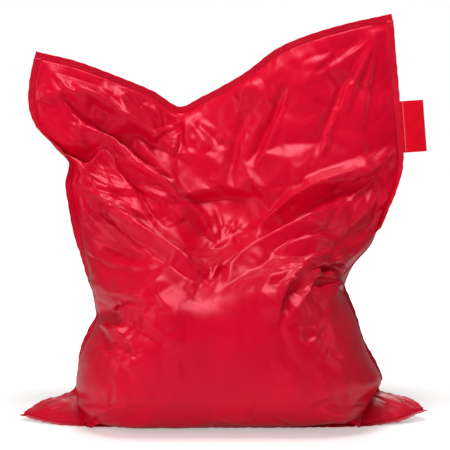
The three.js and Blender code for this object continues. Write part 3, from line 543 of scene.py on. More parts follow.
FOOTING_UP = (0.02, 0.1)  # the shares up and across a panel between which its part on the floor ends
FOOTING_LEFT, FOOTING_RIGHT = (0.06, 0.1), (0.9, 0.94)


def raised(points, side, height):
    """A panel moved out of the bag along its normals by a height, which fades out where the bag stands."""
    standing = 1 - smooth(V, *FOOTING_UP)
    standing = standing * smooth(U, *FOOTING_LEFT) * (1 - smooth(U, *FOOTING_RIGHT))
    return points - side * grid_normals(points) * (height * (1 - standing))[..., None]


def calm_round(most, centre, radii):
    """How calm a panel is at a place: most at a centre, and less and less away from it."""

    def calm(u, v):
        return most * np.exp(-(((u - centre[0]) / radii[0]) ** 2 + ((v - centre[1]) / radii[1]) ** 2))

    return calm


belly_calm = calm_round(0.93, (0.5, 0.24), (0.2, 0.17))
zip_calm = calm_round(0.95, (0.5, 0.5), (0.3, 0.1))


def large(folds, calm, heights, noise_scale, seed):
    """The large folds, with soft noise over them. The heights are those of the ground between the folds and
    of the noise, in millimetres."""
    ground, noise = heights
    return folded(folds, ground * MM, calm, seed) + crumple(noise_scale, seed) * noise * MM


front = raised(smooth_front, -1, large(FRONT_FOLDS, belly_calm, (3, 2), 20, SEED))
back = raised(smooth_back, 1, large(BACK_FOLDS, zip_calm, (6, 7), 24, SEED + 1))


# ---- The cloth simulation ------------------------------------------------------------------------


def bag_mesh(name, front_points, back_points):
    """One closed mesh of both panels, with shared points along the seams, and each panel's point numbers."""
    rows, columns = front_points.shape[:2]
    inner = np.zeros((rows, columns), bool)
    inner[1:-1, 1:-1] = True
    front_index = np.arange(rows * columns).reshape(rows, columns)
    back_index = front_index.copy()
    back_index[inner] = rows * columns + np.arange(inner.sum())
    points = np.vstack([front_points.reshape(-1, 3), back_points[inner]])
    quads = []
    for index, turn in ((front_index, False), (back_index, True)):
        q = np.stack([index[:-1, :-1], index[:-1, 1:], index[1:, 1:], index[1:, :-1]], axis=-1).reshape(-1, 4)
        quads.append(q[:, ::-1] if turn else q)
    mesh = bpy.data.meshes.new(name)
    mesh.from_pydata(points.tolist(), [], np.vstack(quads).tolist())
    mesh.update()
    return mesh, front_index, back_index


def new_object(name, mesh):
    obj = bpy.data.objects.new(name, mesh)
    bpy.context.scene.collection.objects.link(obj)
    return obj


def weight_group(obj, name, weights):
    """A vertex group; the weights are rounded, so that equal ones are added together."""
    group = obj.vertex_groups.new(name=name)
    rounded = np.round(weights, 2)
    for value in np.unique(rounded):
        group.add(np.nonzero(rounded == value)[0].tolist(), float(value), "REPLACE")


CLOTH_FRAMES = 24
SPARE = 0.006  # how much larger the fabric grows next to the seams, as a share
SEAM_REACH = 0.3  # how far from the seams that has fallen to half
CALM_FIRM = 0.8  # how much of it the calmest places lose
HOLD, HOLD_CALM, HOLD_SEAM = 0.12, 0.1, 0.9  # how firmly points are held: all, calm ones more, the seams
MOST_MOVED = 45 * MM


def simulate(front_points, back_points):
    """The two panels after spare fabric has buckled in them, on the coarse grid."""
    mesh, front_index, back_index = bag_mesh("cloth_run", front_points, back_points)
    obj = new_object("cloth_run", mesh)
    count = len(mesh.vertices)
    edge, u, v = np.zeros(count), np.zeros(count), np.zeros(count)
    for index in (front_index, back_index):
        edge[index] = FROM_SEAM[::COARSE, ::COARSE]
        u[index], v[index] = U[::COARSE, ::COARSE], V[::COARSE, ::COARSE]
    calm = np.zeros(count)
    calm[front_index] = belly_calm(u[front_index], v[front_index])
    hold = HOLD + HOLD_CALM * calm
    hold[edge < ROUNDING] = HOLD_SEAM
    weight_group(obj, "hold", hold)
    weight_group(obj, "firm", 1 - (1 - CALM_FIRM * calm) * (0.5 + 0.5 * (1 - smooth(edge, 0, SEAM_REACH))))
    cloth = obj.modifiers.new("Cloth", "CLOTH")
    s = cloth.settings
    s.quality = 5
    s.mass = 0.25
    s.tension_stiffness = s.compression_stiffness = 25
    s.shear_stiffness = 8
    s.bending_model = "ANGULAR"
    s.bending_stiffness = 0.08
    s.tension_damping = s.compression_damping = s.shear_damping = 8
    s.bending_damping = 0.6
    s.air_damping = 3
    s.vertex_group_mass = "hold"
    s.pin_stiffness = 0.5
    s.vertex_group_shrink = "firm"
    s.shrink_min = -SPARE
    s.shrink_max = 0.0
    s.use_pressure = True
    s.uniform_pressure_force = 0.6
    s.effector_weights.gravity = 0.0
    cloth.collision_settings.use_collision = False
    cloth.collision_settings.use_self_collision = False
    scene = bpy.context.scene
    cloth.point_cache.frame_start = 1
    cloth.point_cache.frame_end = CLOTH_FRAMES
    for n in range(1, CLOTH_FRAMES + 1):
        scene.frame_set(n)
    done = obj.evaluated_get(bpy.context.evaluated_depsgraph_get())
    result = np.empty(count * 3)
    done.data.vertices.foreach_get("co", result)
    result = result.reshape(-1, 3)
    bpy.data.objects.remove(obj, do_unlink=True)
    scene.frame_set(1)
    return result[front_index], result[back_index]


def finer(coarse):
    """A grid with a point added between every two, on a cubic through the four nearest."""
    for axis in (0, 1):
        a = np.moveaxis(coarse, axis, 0)
        padded = np.concatenate([2 * a[:1] - a[1:2], a, 2 * a[-1:] - a[-2:-1]])
        between = (9 * (padded[1:-2] + padded[2:-1]) - padded[:-3] - padded[3:]) / 16
        out = np.empty((2 * len(a) - 1, *a.shape[1:]))
        out[::2], out[1::2] = a, between
        coarse = np.moveaxis(out, 0, axis)
    return coarse


def buckled(front_points, back_points):
    """The two panels with the cloth simulation's movement, which is capped, added to every point."""
    coarse = [grid[::COARSE, ::COARSE] for grid in (front_points, back_points)]
    out = []
    for start, grid, result in zip((front_points, back_points), coarse, simulate(*coarse)):
        moved = result - grid
        far = np.linalg.norm(moved, axis=-1, keepdims=True)
        moved *= np.minimum(1, MOST_MOVED / np.maximum(far, 1e-9))
        print("cloth moved", float(far.mean()), float(far.max()))
        out.append(start + finer(moved))
    return out


front, back = buckled(front, back)

WIDE_FACETS, FINE_FACETS = 0.13, 0.06  # their spacing


def sharp(fans, calm, heights, seeds):
    """The creases and facets that lie on the large folds. The heights are those of the ground between the
    creases, of the wide facets and of the fine ones, in millimetres."""
    fan_seed, crease_seed, ground_seed, wide_seed, fine_seed = (SEED + n for n in seeds)
    ground, wide, fine = (height * MM for height in heights)
    lines = fan(fans, fan_seed) + creases(CREASES, calm, crease_seed)
    flats = facets(WIDE_FACETS, wide, calm, wide_seed) + facets(FINE_FACETS, fine, calm, fine_seed)
    return folded(lines, ground, calm, ground_seed) + flats


front = raised(front, -1, sharp(FRONT_FANS, belly_calm, (1.5, 5, 1.2), (2, 3, 4, 6, 7)))
back = raised(back, 1, sharp(BACK_FANS, zip_calm, (2, 8, 2), (4, 5, 5, 8, 9)))


# ---- The zip's place in the back -----------------------------------------------------------------

FLAP_BOX, ROOT_BOX = (np.array(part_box(name), float) for name in ("zip_flap", "flap_root_band"))
CARE_BOX = np.array(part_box("care_label"), float)
UPPER_TAPE, LOWER_TAPE = (np.array(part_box(name), float) for name in ("zip_tape_upper", "zip_tape_lower"))
SLIDER_BOX = np.array(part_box("zip_slider"), float)
ZIP_MIDDLE = (UPPER_TAPE[0][2] + LOWER_TAPE[1][2]) / 2
ZIP_CENTRE_X = (UPPER_TAPE[0][0] + UPPER_TAPE[1][0]) / 2
ZIP_HALF = (UPPER_TAPE[1][0] - UPPER_TAPE[0][0]) / 2
TAPE_REACH = UPPER_TAPE[1][2] - ZIP_MIDDLE
CALM_MARGIN = 25 * MM  # the back stays flat this far round the flap and the care label
CALM_FADE = 70 * MM  # the band beyond it in which the folds come back
RECESS_ROOM, RECESS_FADE = 3 * MM, 9 * MM  # the recess round the zip: how much wider it is, and its slope
RECESS_DEEPER = 2 * MM  # how much deeper it is than the slider


def within(points, low, high, fade):
    """One inside a rectangle of x and z on the bag's back, and zero further out than fade."""
    out = 1
    for axis, a, b in ((0, low[0], high[0]), (2, low[1], high[1])):
        off = np.maximum(a - points[..., axis], points[..., axis] - b)
        out = out * (1 - smooth(off, 0, fade))
    return out * (points[..., 1] > 0)


zip_low = FLAP_BOX[0][[0, 2]] - CALM_MARGIN
zip_high = np.array([FLAP_BOX[1][0], CARE_BOX[1][2]]) + CALM_MARGIN
flat = within(smooth_back, zip_low, zip_high, CALM_FADE)[..., None]
back = back * (1 - flat) + smooth_back * flat
recess_reach = np.array([ZIP_HALF + RECESS_ROOM, TAPE_REACH + RECESS_ROOM])
middle_of_zip = np.array([ZIP_CENTRE_X, ZIP_MIDDLE])
recess = within(smooth_back, middle_of_zip - recess_reach, middle_of_zip + recess_reach, RECESS_FADE)
back[..., 1] -= recess * (BACK_FACE - SLIDER_BOX[0][1] + RECESS_DEEPER)

FRONT_INSET, FRONT_REACH = 4 * MM, 15 * MM  # how far inside the seams' narrowest place within reach it stays
BACK_INSET, BACK_REACH = 22 * MM, 45 * MM
WAIST_SOFT = 10 * MM  # how far it may still pass that limit
WAIST_FROM = (0.14, 0.26)  # the heights over which the pull comes in
WAIST_SEAM = 0.16  # the share of a side seam below which it isn't looked at, because it lies on the floor
SEAM_SAMPLES = 400
LEVELS = np.linspace(0, 1.4, 281)  # heights at which the limit is worked out
BACK_ROOM = 10 * MM  # how far the back may bulge out behind its flat part


def waisted(points, inset, reach):
    """A panel pulled in sideways to inside the side seams, so that it doesn't bulge past the waist: its
    limit at a height is the narrowest place of the seam within reach above and below."""
    for seam, way, rim in ((left_seam, -1, points[:, :1].copy()), (right_seam, 1, points[:, -1:].copy())):
        line = seam(np.linspace(WAIST_SEAM, 1, SEAM_SAMPLES)) + shift
        edge = np.interp(LEVELS, line[:, 2], line[:, 0] * way)
        narrowest = [edge[np.abs(LEVELS - level) <= reach].min() for level in LEVELS]
        limit = np.interp(points[..., 2], LEVELS, narrowest) - inset
        over = np.maximum(points[..., 0] * way - limit, 0)
        from_rim = np.linalg.norm(points - rim, axis=-1)
        share = smooth(points[..., 2], *WAIST_FROM) * smooth(from_rim, 0, EDGE_ZONE)
        points[..., 0] -= way * (over - WAIST_SOFT * np.tanh(over / WAIST_SOFT)) * share
    return points


front, back = waisted(front, FRONT_INSET, FRONT_REACH), waisted(back, BACK_INSET, BACK_REACH)
front[..., 2] = np.maximum(front[..., 2], 0)
back[..., 2] = np.maximum(back[..., 2], 0)
behind = np.maximum(back[..., 1] - BACK_FACE - BACK_ROOM, 0)
back[..., 1] -= behind - BACK_ROOM * np.tanh(behind / BACK_ROOM)


# ---- Materials -----------------------------------------------------------------------------------


class Nodes:
    """A material's node tree, with short calls to add nodes and join them."""

    def __init__(self, name):
        self.material = bpy.data.materials.new(name)
        self.material.use_nodes = True
        self.tree = self.material.node_tree
        self.shader = self.tree.nodes["Principled BSDF"]
        self.place = self.add("ShaderNodeTexCoord").outputs["Object"]

    def add(self, kind, inputs=(), **settings):
        node = self.tree.nodes.new(kind)
        for key, value in settings.items():
            setattr(node, key, value)
        for key, value in dict(inputs).items():
            if isinstance(value, bpy.types.NodeSocket):
                self.tree.links.new(value, node.inputs[key])
            else:
                node.inputs[key].default_value = value
        return node

    def noise(self, scale, detail=3.0, roughness=0.5, stretch=None):
        place = self.place
        if stretch:
            place = self.add("ShaderNodeMapping", {"Vector": place, "Scale": stretch}).outputs["Vector"]
        inputs = {"Vector": place, "Scale": scale, "Detail": detail, "Roughness": roughness}
        return self.add("ShaderNodeTexNoise", inputs).outputs["Fac"]

    def waves(self, direction, scale, distortion=0.4):
        inputs = {"Vector": self.place, "Scale": scale, "Distortion": distortion, "Detail": 1.0}
        return self.add("ShaderNodeTexWave", inputs, bands_direction=direction).outputs["Fac"]

    def math(self, operation, a, b):
        return self.add("ShaderNodeMath", {0: a, 1: b}, operation=operation).outputs["Value"]

    def spread(self, value, low, high, from_low=0.0, from_high=1.0):
        inputs = {"Value": value, "From Min": from_low, "From Max": from_high, "To Min": low, "To Max": high}
        return self.add("ShaderNodeMapRange", inputs).outputs["Result"]

    def mix(self, share, a, b):
        node = self.add("ShaderNodeMix", {"Factor": share}, data_type="RGBA")
        for name, value in (("A", a), ("B", b)):
            socket = next(i for i in node.inputs if i.name == name and i.type == "RGBA")
            if isinstance(value, bpy.types.NodeSocket):
                self.tree.links.new(value, socket)
            else:
                socket.default_value = (*value, 1)
        return next(o for o in node.outputs if o.type == "RGBA")

    def bump(self, height, strength, distance, normal=None):
        inputs = {"Height": height, "Strength": strength, "Distance": distance}
        if normal:
            inputs["Normal"] = normal
        return self.add("ShaderNodeBump", inputs).outputs["Normal"]

    def worn(self):
        """How far a point stands out of its surroundings, from zero in hollows to one on ridges."""
        return self.spread(self.add("ShaderNodeNewGeometry").outputs["Pointiness"], 0, 1, 0.49, 0.56)

    def varied(self, value, dark, colour, low=0.35, high=0.65):
        """A colour that goes from dark, its share of itself, to full as the value goes from low to high."""
        return self.mix(self.spread(value, 0, 1, low, high), tuple(c * dark for c in colour), colour)

    def finish(self, colour, roughness, normal, **sockets):
        """The material, with these nodes joined to its shader and these constants set on it."""
        for key, value in (("Base Color", colour), ("Roughness", roughness), ("Normal", normal)):
            if isinstance(value, bpy.types.NodeSocket):
                self.tree.links.new(value, self.shader.inputs[key])
        for key, value in sockets.items():
            self.shader.inputs[key.replace("_", " ")].default_value = value
        return self.material


def weave(nodes, scale, strength, distance, normal):
    """A plain weave: threads over and under each other, from bands along three directions."""
    bands = [nodes.waves(direction, scale) for direction in "XYZ"]
    crossed = nodes.math("MULTIPLY", nodes.math("MAXIMUM", bands[0], bands[1]), bands[2])
    return nodes.bump(crossed, strength, distance, normal)


GLOSS_TINT = (1.0, 0.21, 0.31, 1.0)  # the dyed fabric under the thin coating colours its shine
RED = (0.64, 0.0, 0.02)
DEEP_RED = (0.58, 0.0, 0.017)
PALE_RED = (0.76, 0.012, 0.04)


def coated_nylon(name, colour, worn, roughness=(0.29, 0.4), weave_strength=0.16):
    """Nylon with a shiny coating: a fine weave under it, small creases, and slightly paler ridges."""
    nodes = Nodes(name)
    cloudy = nodes.noise(5.0, 4.0)
    grime = nodes.noise(38.0, 6.0, 0.6)
    base = nodes.varied(cloudy, 0.86, colour)
    base = nodes.mix(nodes.math("MULTIPLY", nodes.worn(), nodes.spread(grime, 0.1, 0.34)), base, worn)
    halves = [nodes.math("MULTIPLY", noise, 0.5) for noise in (cloudy, grime)]
    rough = nodes.spread(nodes.math("ADD", *halves), *roughness, 0.3, 0.7)
    creased = nodes.bump(nodes.noise(22.0, 3.0, 0.5, (1, 1, 0.6)), 0.04, 5 * MM)
    crinkled = nodes.bump(nodes.noise(120.0, 3.0), 0.12, 1.2 * MM, creased)
    normal = weave(nodes, 520.0, weave_strength, 0.25 * MM, crinkled)
    return nodes.finish(base, rough, normal, Specular_IOR_Level=0.8, Specular_Tint=GLOSS_TINT)


def thread_material(name, colour):
    nodes = Nodes(name)
    ply = nodes.noise(900.0, 2.0, 0.5, (1, 1, 3))
    base = nodes.varied(ply, 0.7, colour)
    normal = nodes.bump(ply, 0.5, 0.3 * MM)
    return nodes.finish(base, nodes.spread(ply, 0.4, 0.6), normal, Sheen_Weight=0.2)


def webbing(name, colour, scale=420.0, roughness=(0.6, 0.85)):
    """A woven band: ribs across it and a finer weave, uneven in colour and shine."""
    nodes = Nodes(name)
    ribs = nodes.waves("X", scale, 0.8)
    uneven = nodes.noise(60.0, 4.0)
    base = nodes.varied(uneven, 0.78, colour, 0.3, 0.7)
    ribbed = nodes.bump(ribs, 0.4, 0.3 * MM)
    rough = nodes.spread(uneven, *roughness, 0.3, 0.7)
    normal = weave(nodes, scale * 1.3, 0.3, 0.2 * MM, ribbed)
    return nodes.finish(base, rough, normal, Sheen_Weight=0.15)


def satin_label(name, colour, tint=(1.0, 1.0, 1.0, 1.0)):
    """A dense satin weave with fine ribs across the label."""
    nodes = Nodes(name)
    ribs = nodes.waves("Z", 620.0, 0.5)
    uneven = nodes.noise(70.0, 4.0)
    base = nodes.varied(uneven, 0.9, colour, 0.3, 0.7)
    base = nodes.mix(nodes.spread(ribs, 0, 0.12), base, tuple(min(1, c * 1.3 + 0.02) for c in colour))
    soft = nodes.bump(nodes.noise(45.0, 3.0), 0.15, 1.5 * MM)
    rough = nodes.spread(uneven, 0.42, 0.6, 0.3, 0.7)
    return nodes.finish(base, rough, nodes.bump(ribs, 0.35, 0.25 * MM, soft), Specular_Tint=tint)


def coil_plastic(name, colour):
    nodes = Nodes(name)
    uneven = nodes.noise(240.0, 3.0)
    base = nodes.mix(uneven, tuple(c * 0.7 for c in colour), colour)
    return nodes.finish(base, nodes.spread(uneven, 0.25, 0.5), nodes.bump(uneven, 0.15, 0.2 * MM))


def zip_steel(name):
    nodes = Nodes(name)
    scratches = nodes.noise(500.0, 5.0, 0.6, (0.15, 1, 1))
    base = nodes.mix(scratches, (0.45, 0.46, 0.47), (0.72, 0.73, 0.75))
    normal = nodes.bump(scratches, 0.2, 0.05 * MM)
    return nodes.finish(base, nodes.spread(scratches, 0.22, 0.48), normal, Metallic=1.0)


nylon = coated_nylon("red_coated_nylon", RED, PALE_RED)
hem_nylon = coated_nylon("red_nylon_hem", DEEP_RED, RED, (0.36, 0.5), 0.3)
thread = thread_material("red_thread", (0.50, 0.004, 0.03))
label_cloth = satin_label("red_label_satin", (0.76, 0.0, 0.012), GLOSS_TINT)
tape_cloth = webbing("red_zip_tape", (0.30, 0.003, 0.014))
pile_cloth = webbing("red_touch_tape", (0.22, 0.003, 0.012), 300.0, (0.8, 0.95))
coil_red = coil_plastic("red_zip_coil", (0.34, 0.006, 0.02))
care_cloth = satin_label("white_care_cloth", (0.80, 0.80, 0.77))
steel = zip_steel("zip_steel")


# ---- Mesh helpers --------------------------------------------------------------------------------


def add_piece(name, points, faces, material, body, slot, *nodes):
    mesh = bpy.data.meshes.new(name)
    mesh.from_pydata(np.asarray(points, float).tolist(), [], faces)
    mesh.validate()
    mesh.update()
    return dress(new_object(name, mesh), material, body, slot, *nodes)


def dress(obj, material, body, slot, *nodes):
    """Gives a piece its material, smooth shading and body, and hides the CAD nodes that it stands for. Its
    slot is not used.
    """
    obj.data.materials.append(material)
    obj.data.polygons.foreach_set("use_smooth", [True] * len(obj.data.polygons))
    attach(obj, body)
    if nodes:
        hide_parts(*nodes)
    return obj


def tube_faces(rings, sides, first=0):
    """The faces of a run of rings, closed round each ring and at both ends."""
    faces = []
    for r in range(rings - 1):
        for s in range(sides):
            a, b = first + r * sides + s, first + r * sides + (s + 1) % sides
            faces.append((a, b, b + sides, a + sides))
    faces.append(tuple(first + s for s in reversed(range(sides))))
    faces.append(tuple(first + (rings - 1) * sides + s for s in range(sides)))
    return faces


def stitches(starts, ends, ups, radius=0.45 * MM, bulge=0.5 * MM, sink=0.35 * MM, sides=5, rings=5):
    """Points and faces of short threads, each an arch from its start to its end."""
    starts, ends, ups = (np.asarray(x, float) for x in (starts, ends, ups))
    along = unit(ends - starts)
    ups = unit(ups - along * (ups * along).sum(-1, keepdims=True))
    across = np.cross(along, ups)
    t = np.linspace(0, 1, rings)
    rise = bulge * np.sin(np.pi * t) - sink
    size = radius * (0.45 + 0.55 * np.sin(np.pi * t) ** 0.6)
    centre = starts[:, None] + (ends - starts)[:, None] * t[:, None] + ups[:, None] * rise[:, None]
    turn = 2 * np.pi * np.arange(sides) / sides
    ring = across[:, None, None] * np.cos(turn)[:, None] + ups[:, None, None] * np.sin(turn)[:, None]
    points = centre[:, :, None] + ring * size[:, None, None]
    one = rings * sides
    faces = [face for n in range(len(starts)) for face in tube_faces(rings, sides, n * one)]
    return points.reshape(-1, 3), faces


def slab(outer, inner):
    """A closed thin piece between two grids of the same size."""
    rows, columns = outer.shape[:2]
    index = np.arange(rows * columns).reshape(rows, columns)
    quads = np.stack([index[:-1, :-1], index[:-1, 1:], index[1:, 1:], index[1:, :-1]], axis=-1).reshape(-1, 4)
    shifted = quads[:, ::-1] + rows * columns
    rim = np.concatenate([index[0, :-1], index[:-1, -1], index[-1, :0:-1], index[:0:-1, 0]])
    following = np.roll(rim, -1)
    wall = np.stack([rim, rim + rows * columns, following + rows * columns, following], axis=-1)
    points = np.concatenate([outer.reshape(-1, 3), inner.reshape(-1, 3)])
    return points, [tuple(map(int, q)) for q in np.vstack([quads, shifted, wall])]


# ---- The bag -------------------------------------------------------------------------------------

cover = new_object("bag_cover", bag_mesh("bag_cover", front, back)[0])
bag = dress(cover, nylon, "bag", "red_fabric", "front_panel", "back_panel", "bead_fill")


# ---- The sewn edges ------------------------------------------------------------------------------

STITCH, STITCH_GAP = 4.6 * MM, 2.2 * MM
STITCH_ROWS = (7 * MM, 13.5 * MM)  # how far out the rows of topstitching run
HEM_HALF = 1.3 * MM  # half the sewn edge's thickness
HEM_SECTION = [  # how far out, and the half thickness there as a share of HEM_HALF
    (-5 * MM, 0.5), (0.0, 0.75), (3 * MM, 0.95), (6 * MM, 1.0), (7 * MM, 0.8), (8 * MM, 1.0),
    (12.5 * MM, 1.05), (13.5 * MM, 0.82), (14.5 * MM, 1.05), (19 * MM, 1.15), (21 * MM, 0.95),
    (22 * MM, 0.45),
]
PUCKER = 1.5 * MM  # how far the free edge waves to either side
PUCKER_WAVES = ((0.5, 0.031), (0.35, 0.052), (0.5, 0.11))  # how strong each wave is, and its length
WIDTH_WAVE = (0.02, 0.043)  # the same for the edge's width
STATION = 5 * MM  # the spacing of the sections
FRAME_REACH = 4  # grid cells from the rim to the points that set the edge's direction
EDGES = {"left": (1, 0), "right": (1, -1), "bottom": (0, 0), "top": (0, -1)}  # the grid's axis, and which end


def resampled(values, places, at):
    """A line's points, given at places along it, at other places."""
    return np.stack([np.interp(at, places, values[:, n]) for n in range(3)], axis=-1)


def softened(vectors, reach=9):
    """Vectors along a line, each the mean of its neighbours."""
    padded = np.pad(vectors, ((reach, reach), (0, 0)), mode="edge")
    window = np.ones(2 * reach + 1) / (2 * reach + 1)
    return unit(np.stack([np.convolve(padded[:, n], window, "valid") for n in range(3)], axis=-1))


def edge_frames(which):
    """Evenly spaced stations along a seam: the place, the way out of the bag and the way to the front. At the
    top and bottom they run on past both ends, so that the hems of two seams lie over each other there."""
    axis, end = EDGES[which]
    further_in = -1 - FRAME_REACH if end else FRAME_REACH
    rim, inner = ((slice(None), n) if axis else (n, slice(None)) for n in (end, further_in))
    lines = front[rim], *(unit(points[inner] - points[rim]) for points in (smooth_front, smooth_back))
    places = np.concatenate([[0], np.cumsum(np.linalg.norm(np.diff(front[rim], axis=0), axis=1))])
    count = int(places[-1] / STATION)
    place, into_front, into_back = (resampled(x, places, np.linspace(0, places[-1], count)) for x in lines)
    tangent = unit(np.gradient(place, axis=0))
    flat, crossing = which == "bottom", which in ("bottom", "top")
    out = np.tile([0.0, -1, 0], (count, 1)) if flat else -(into_front + into_back)
    out = softened(unit(out - tangent * (out * tangent).sum(-1, keepdims=True)))
    to_front = np.cross(out, tangent)
    wanted = np.tile([0.0, 0, 1], (count, 1)) if flat else into_front - into_back
    to_front *= np.sign((to_front * wanted).sum(-1, keepdims=True))
    to_front = softened(to_front)
    extra = int(OVERHANG / STATION)
    before = place[:1] - tangent[:1] * STATION * np.arange(extra, 0, -1)[:, None]
    after = place[-1:] + tangent[-1:] * STATION * np.arange(1, extra + 1)[:, None]
    if not crossing:
        before, after = before[:0], after[:0]
    place = np.vstack([before, place, after])
    out, to_front = (np.pad(x, ((len(before), len(after)), (0, 0)), mode="edge") for x in (out, to_front))
    return place, out, to_front


def hem(which, seed):
    """A sewn edge: a doubled band with a rounded free edge, waved by its stitching, and its stitches."""
    random = np.random.default_rng(seed)
    place, out, to_front = edge_frames(which)
    count = len(place)
    run = np.arange(count) * STATION

    def wavy(amount, length):
        return amount * np.sin(2 * np.pi * run / length + random.uniform(0, 2 * np.pi))

    wave = sum(wavy(*one) for one in PUCKER_WAVES)
    reach = 1 + wavy(*WIDTH_WAVE)

    def surface(distance, height):
        rise = height + PUCKER * wave * smooth(distance, 0, OVERHANG)
        moved = place + out * (distance * reach)[:, None] + to_front * rise[:, None]
        if which == "bottom":
            moved[:, 2] -= TROUGH * float(smooth(distance, -2 * MM, 5 * MM))
            moved[:, 2] = np.maximum(moved[:, 2], 0.2 * MM + (height > 0) * 2 * HEM_HALF)
        return moved

    section = [(o, h * HEM_HALF) for o, h in HEM_SECTION]
    ring = [surface(o, h) for o, h in section] + [surface(o, -h) for o, h in reversed(section)]
    points = np.stack(ring, axis=1).reshape(-1, 3)
    faces = tube_faces(count, len(ring))
    tangent = np.gradient(place, axis=0)
    if (np.cross(to_front[0], tangent[0]) @ out[0]) > 0:
        faces = [tuple(reversed(face)) for face in faces]
    name = which + "_seam"
    add_piece(name + "_hem", points, faces, hem_nylon, "bag", "red_binding", name + "_flange")

    starts, ends, ups = [], [], []
    at = np.arange(STITCH_GAP, run[-1] - STITCH, STITCH + STITCH_GAP)
    for distance in STITCH_ROWS:
        for way in (1, -1):
            line = surface(distance, way * HEM_HALF)
            normal = to_front * way
            for further, store in ((0, starts), (STITCH, ends)):
                store.append(resampled(line, run, at + further))
            ups.append(resampled(normal, run, at))
    points, faces = stitches(np.vstack(starts), np.vstack(ends), np.vstack(ups))
    points[:, 2] = np.maximum(points[:, 2], 0)
    add_piece(name + "_stitches", points, faces, thread, "bag", "red_thread", name + "_stitching")


for number, which in enumerate(("top", "bottom", "left", "right")):
    hem(which, SEED + 10 + number)


# ---- The label -----------------------------------------------------------------------------------

LABEL_HINGE = next(j for j in frame["joints"] if j["name"] == "label_flip")
LABEL_LENGTH, LABEL_WIDTH = 176 * MM, 70 * MM
LABEL_LEAF = 0.7 * MM  # a leaf's thickness
LABEL_FOLD = 1.2 * MM  # what the fold at the outer edge takes of the width
LABEL_BOW, LABEL_DROOP, LABEL_RIPPLE = 2.2 * MM, 1.5 * MM, 0.5 * MM  # how uneven the leaves are
LABEL_ROWS, LABEL_COLUMNS = 34, 60  # a leaf's grid
LABEL_ROLL = 0.8 * MM  # the radius of the rolled edge that it turns round
ROLL_SIDES = 10
ROOT_ROWS = 8
ROOT_DEPTH, ROOT_GAP = 16 * MM, 0.25 * MM  # how far it reaches into the seam, and its distance from the roll
ROOT_THIN = 0.15  # the thickness of its outer edge, as a share, so that the tab can turn past it

LABEL_PLACE = np.array(LABEL_HINGE["pos_m"], float)
LABEL_DOWN = unit(np.array(LABEL_HINGE["axis"], float))
LABEL_OUT = unit(np.array([1.0, 0, 0]) - LABEL_DOWN[0] * LABEL_DOWN)
LABEL_FRONT = np.cross(LABEL_OUT, LABEL_DOWN)
LABEL_FRONT *= -np.sign(LABEL_FRONT[1])


def label_grid(rows, side, start, end):
    """A leaf of the label: side 1 is its front and -1 its back, from start to end out from the seam."""
    t, w = np.meshgrid(np.linspace(0, 1, LABEL_COLUMNS), np.linspace(start, end, rows))
    share = w / LABEL_WIDTH
    bow = LABEL_BOW * np.sin(np.pi * share) * np.sin(2.2 * t + 0.4) - LABEL_DROOP * share**2
    ripple = LABEL_RIPPLE * np.sin(17 * t + 90 * w) * np.clip(share, 0, 1)
    apart = side * LABEL_LEAF * (0.6 + 0.9 * np.sin(np.pi * np.clip(share, 0, 1)) ** 2)
    level = LABEL_PLACE + LABEL_DOWN * (t * LABEL_LENGTH)[..., None] + LABEL_OUT * w[..., None]
    return level + LABEL_FRONT * (bow + ripple + apart)[..., None]


def label():
    """One strip folded at its outer edge into two leaves, with a line of stitches, the rolled edge that it
    turns round, and its root in the seam."""
    leaves = [label_grid(LABEL_ROWS, side, 0, LABEL_WIDTH - LABEL_FOLD) for side in (1, -1)]
    front_leaf, back_leaf = leaves
    middle_line = (front_leaf[-1] + back_leaf[-1]) / 2
    half = np.linalg.norm(front_leaf[-1] - back_leaf[-1], axis=-1)[:, None] / 2
    turns = [
        middle_line + LABEL_FRONT * half * np.cos(a) + LABEL_OUT * half * 1.4 * np.sin(a)
        for a in np.linspace(0, np.pi, 9)[1:-1]
    ]
    sheet = np.concatenate([front_leaf, np.stack(turns), back_leaf[::-1]])
    normal = grid_normals(sheet)
    normal *= np.sign(normal[5, 5] @ LABEL_FRONT)
    points, faces = slab(sheet + normal * LABEL_LEAF / 2, sheet - normal * LABEL_LEAF / 2)
    tab = add_piece("side_label_tab", points, faces, label_cloth, "side_label", "label_fabric", "label")

    count = int(LABEL_LENGTH / (STITCH + STITCH_GAP))
    at = (np.arange(count) + 0.2) / count
    starts, ends, ups = [], [], []
    for leaf, way in zip(leaves, (1, -1)):
        line, places = leaf[2] + LABEL_FRONT * way * LABEL_LEAF / 2, np.linspace(0, 1, LABEL_COLUMNS)
        starts.append(resampled(line, places, at))
        ends.append(resampled(line, places, at + 0.62 / count))
        ups.append(np.tile(LABEL_FRONT * way, (count, 1)))
    points, faces = stitches(np.vstack(starts), np.vstack(ends), np.vstack(ups))
    seam = add_piece("side_label_stitches", points, faces, thread, "side_label", "red_thread")

    hinge_line = (front_leaf[0] + back_leaf[0]) / 2
    turn = 2 * np.pi * np.arange(ROLL_SIDES)[:, None] / ROLL_SIDES
    ring = (LABEL_FRONT * np.cos(turn) - LABEL_OUT * np.sin(turn)) * LABEL_ROLL
    points, faces = (hinge_line[:, None] + ring).reshape(-1, 3), tube_faces(LABEL_COLUMNS, ROLL_SIDES)
    roll = add_piece("side_label_roll", points, faces, label_cloth, "side_label", "label_fabric")

    leaves = [label_grid(ROOT_ROWS, side, -ROOT_DEPTH, -LABEL_ROLL - ROOT_GAP) for side in (1, -1)]
    thinner = np.where(np.arange(ROOT_ROWS) == ROOT_ROWS - 1, ROOT_THIN, 1)[:, None, None]
    points, faces = slab(*(sum(leaves) / 2 * (1 - thinner) + leaf * thinner for leaf in leaves))
    add_piece("label_root", points, faces, label_cloth, "bag", "label_fabric")


label()


# ---- The zip, its surround and its flap ----------------------------------------------------------


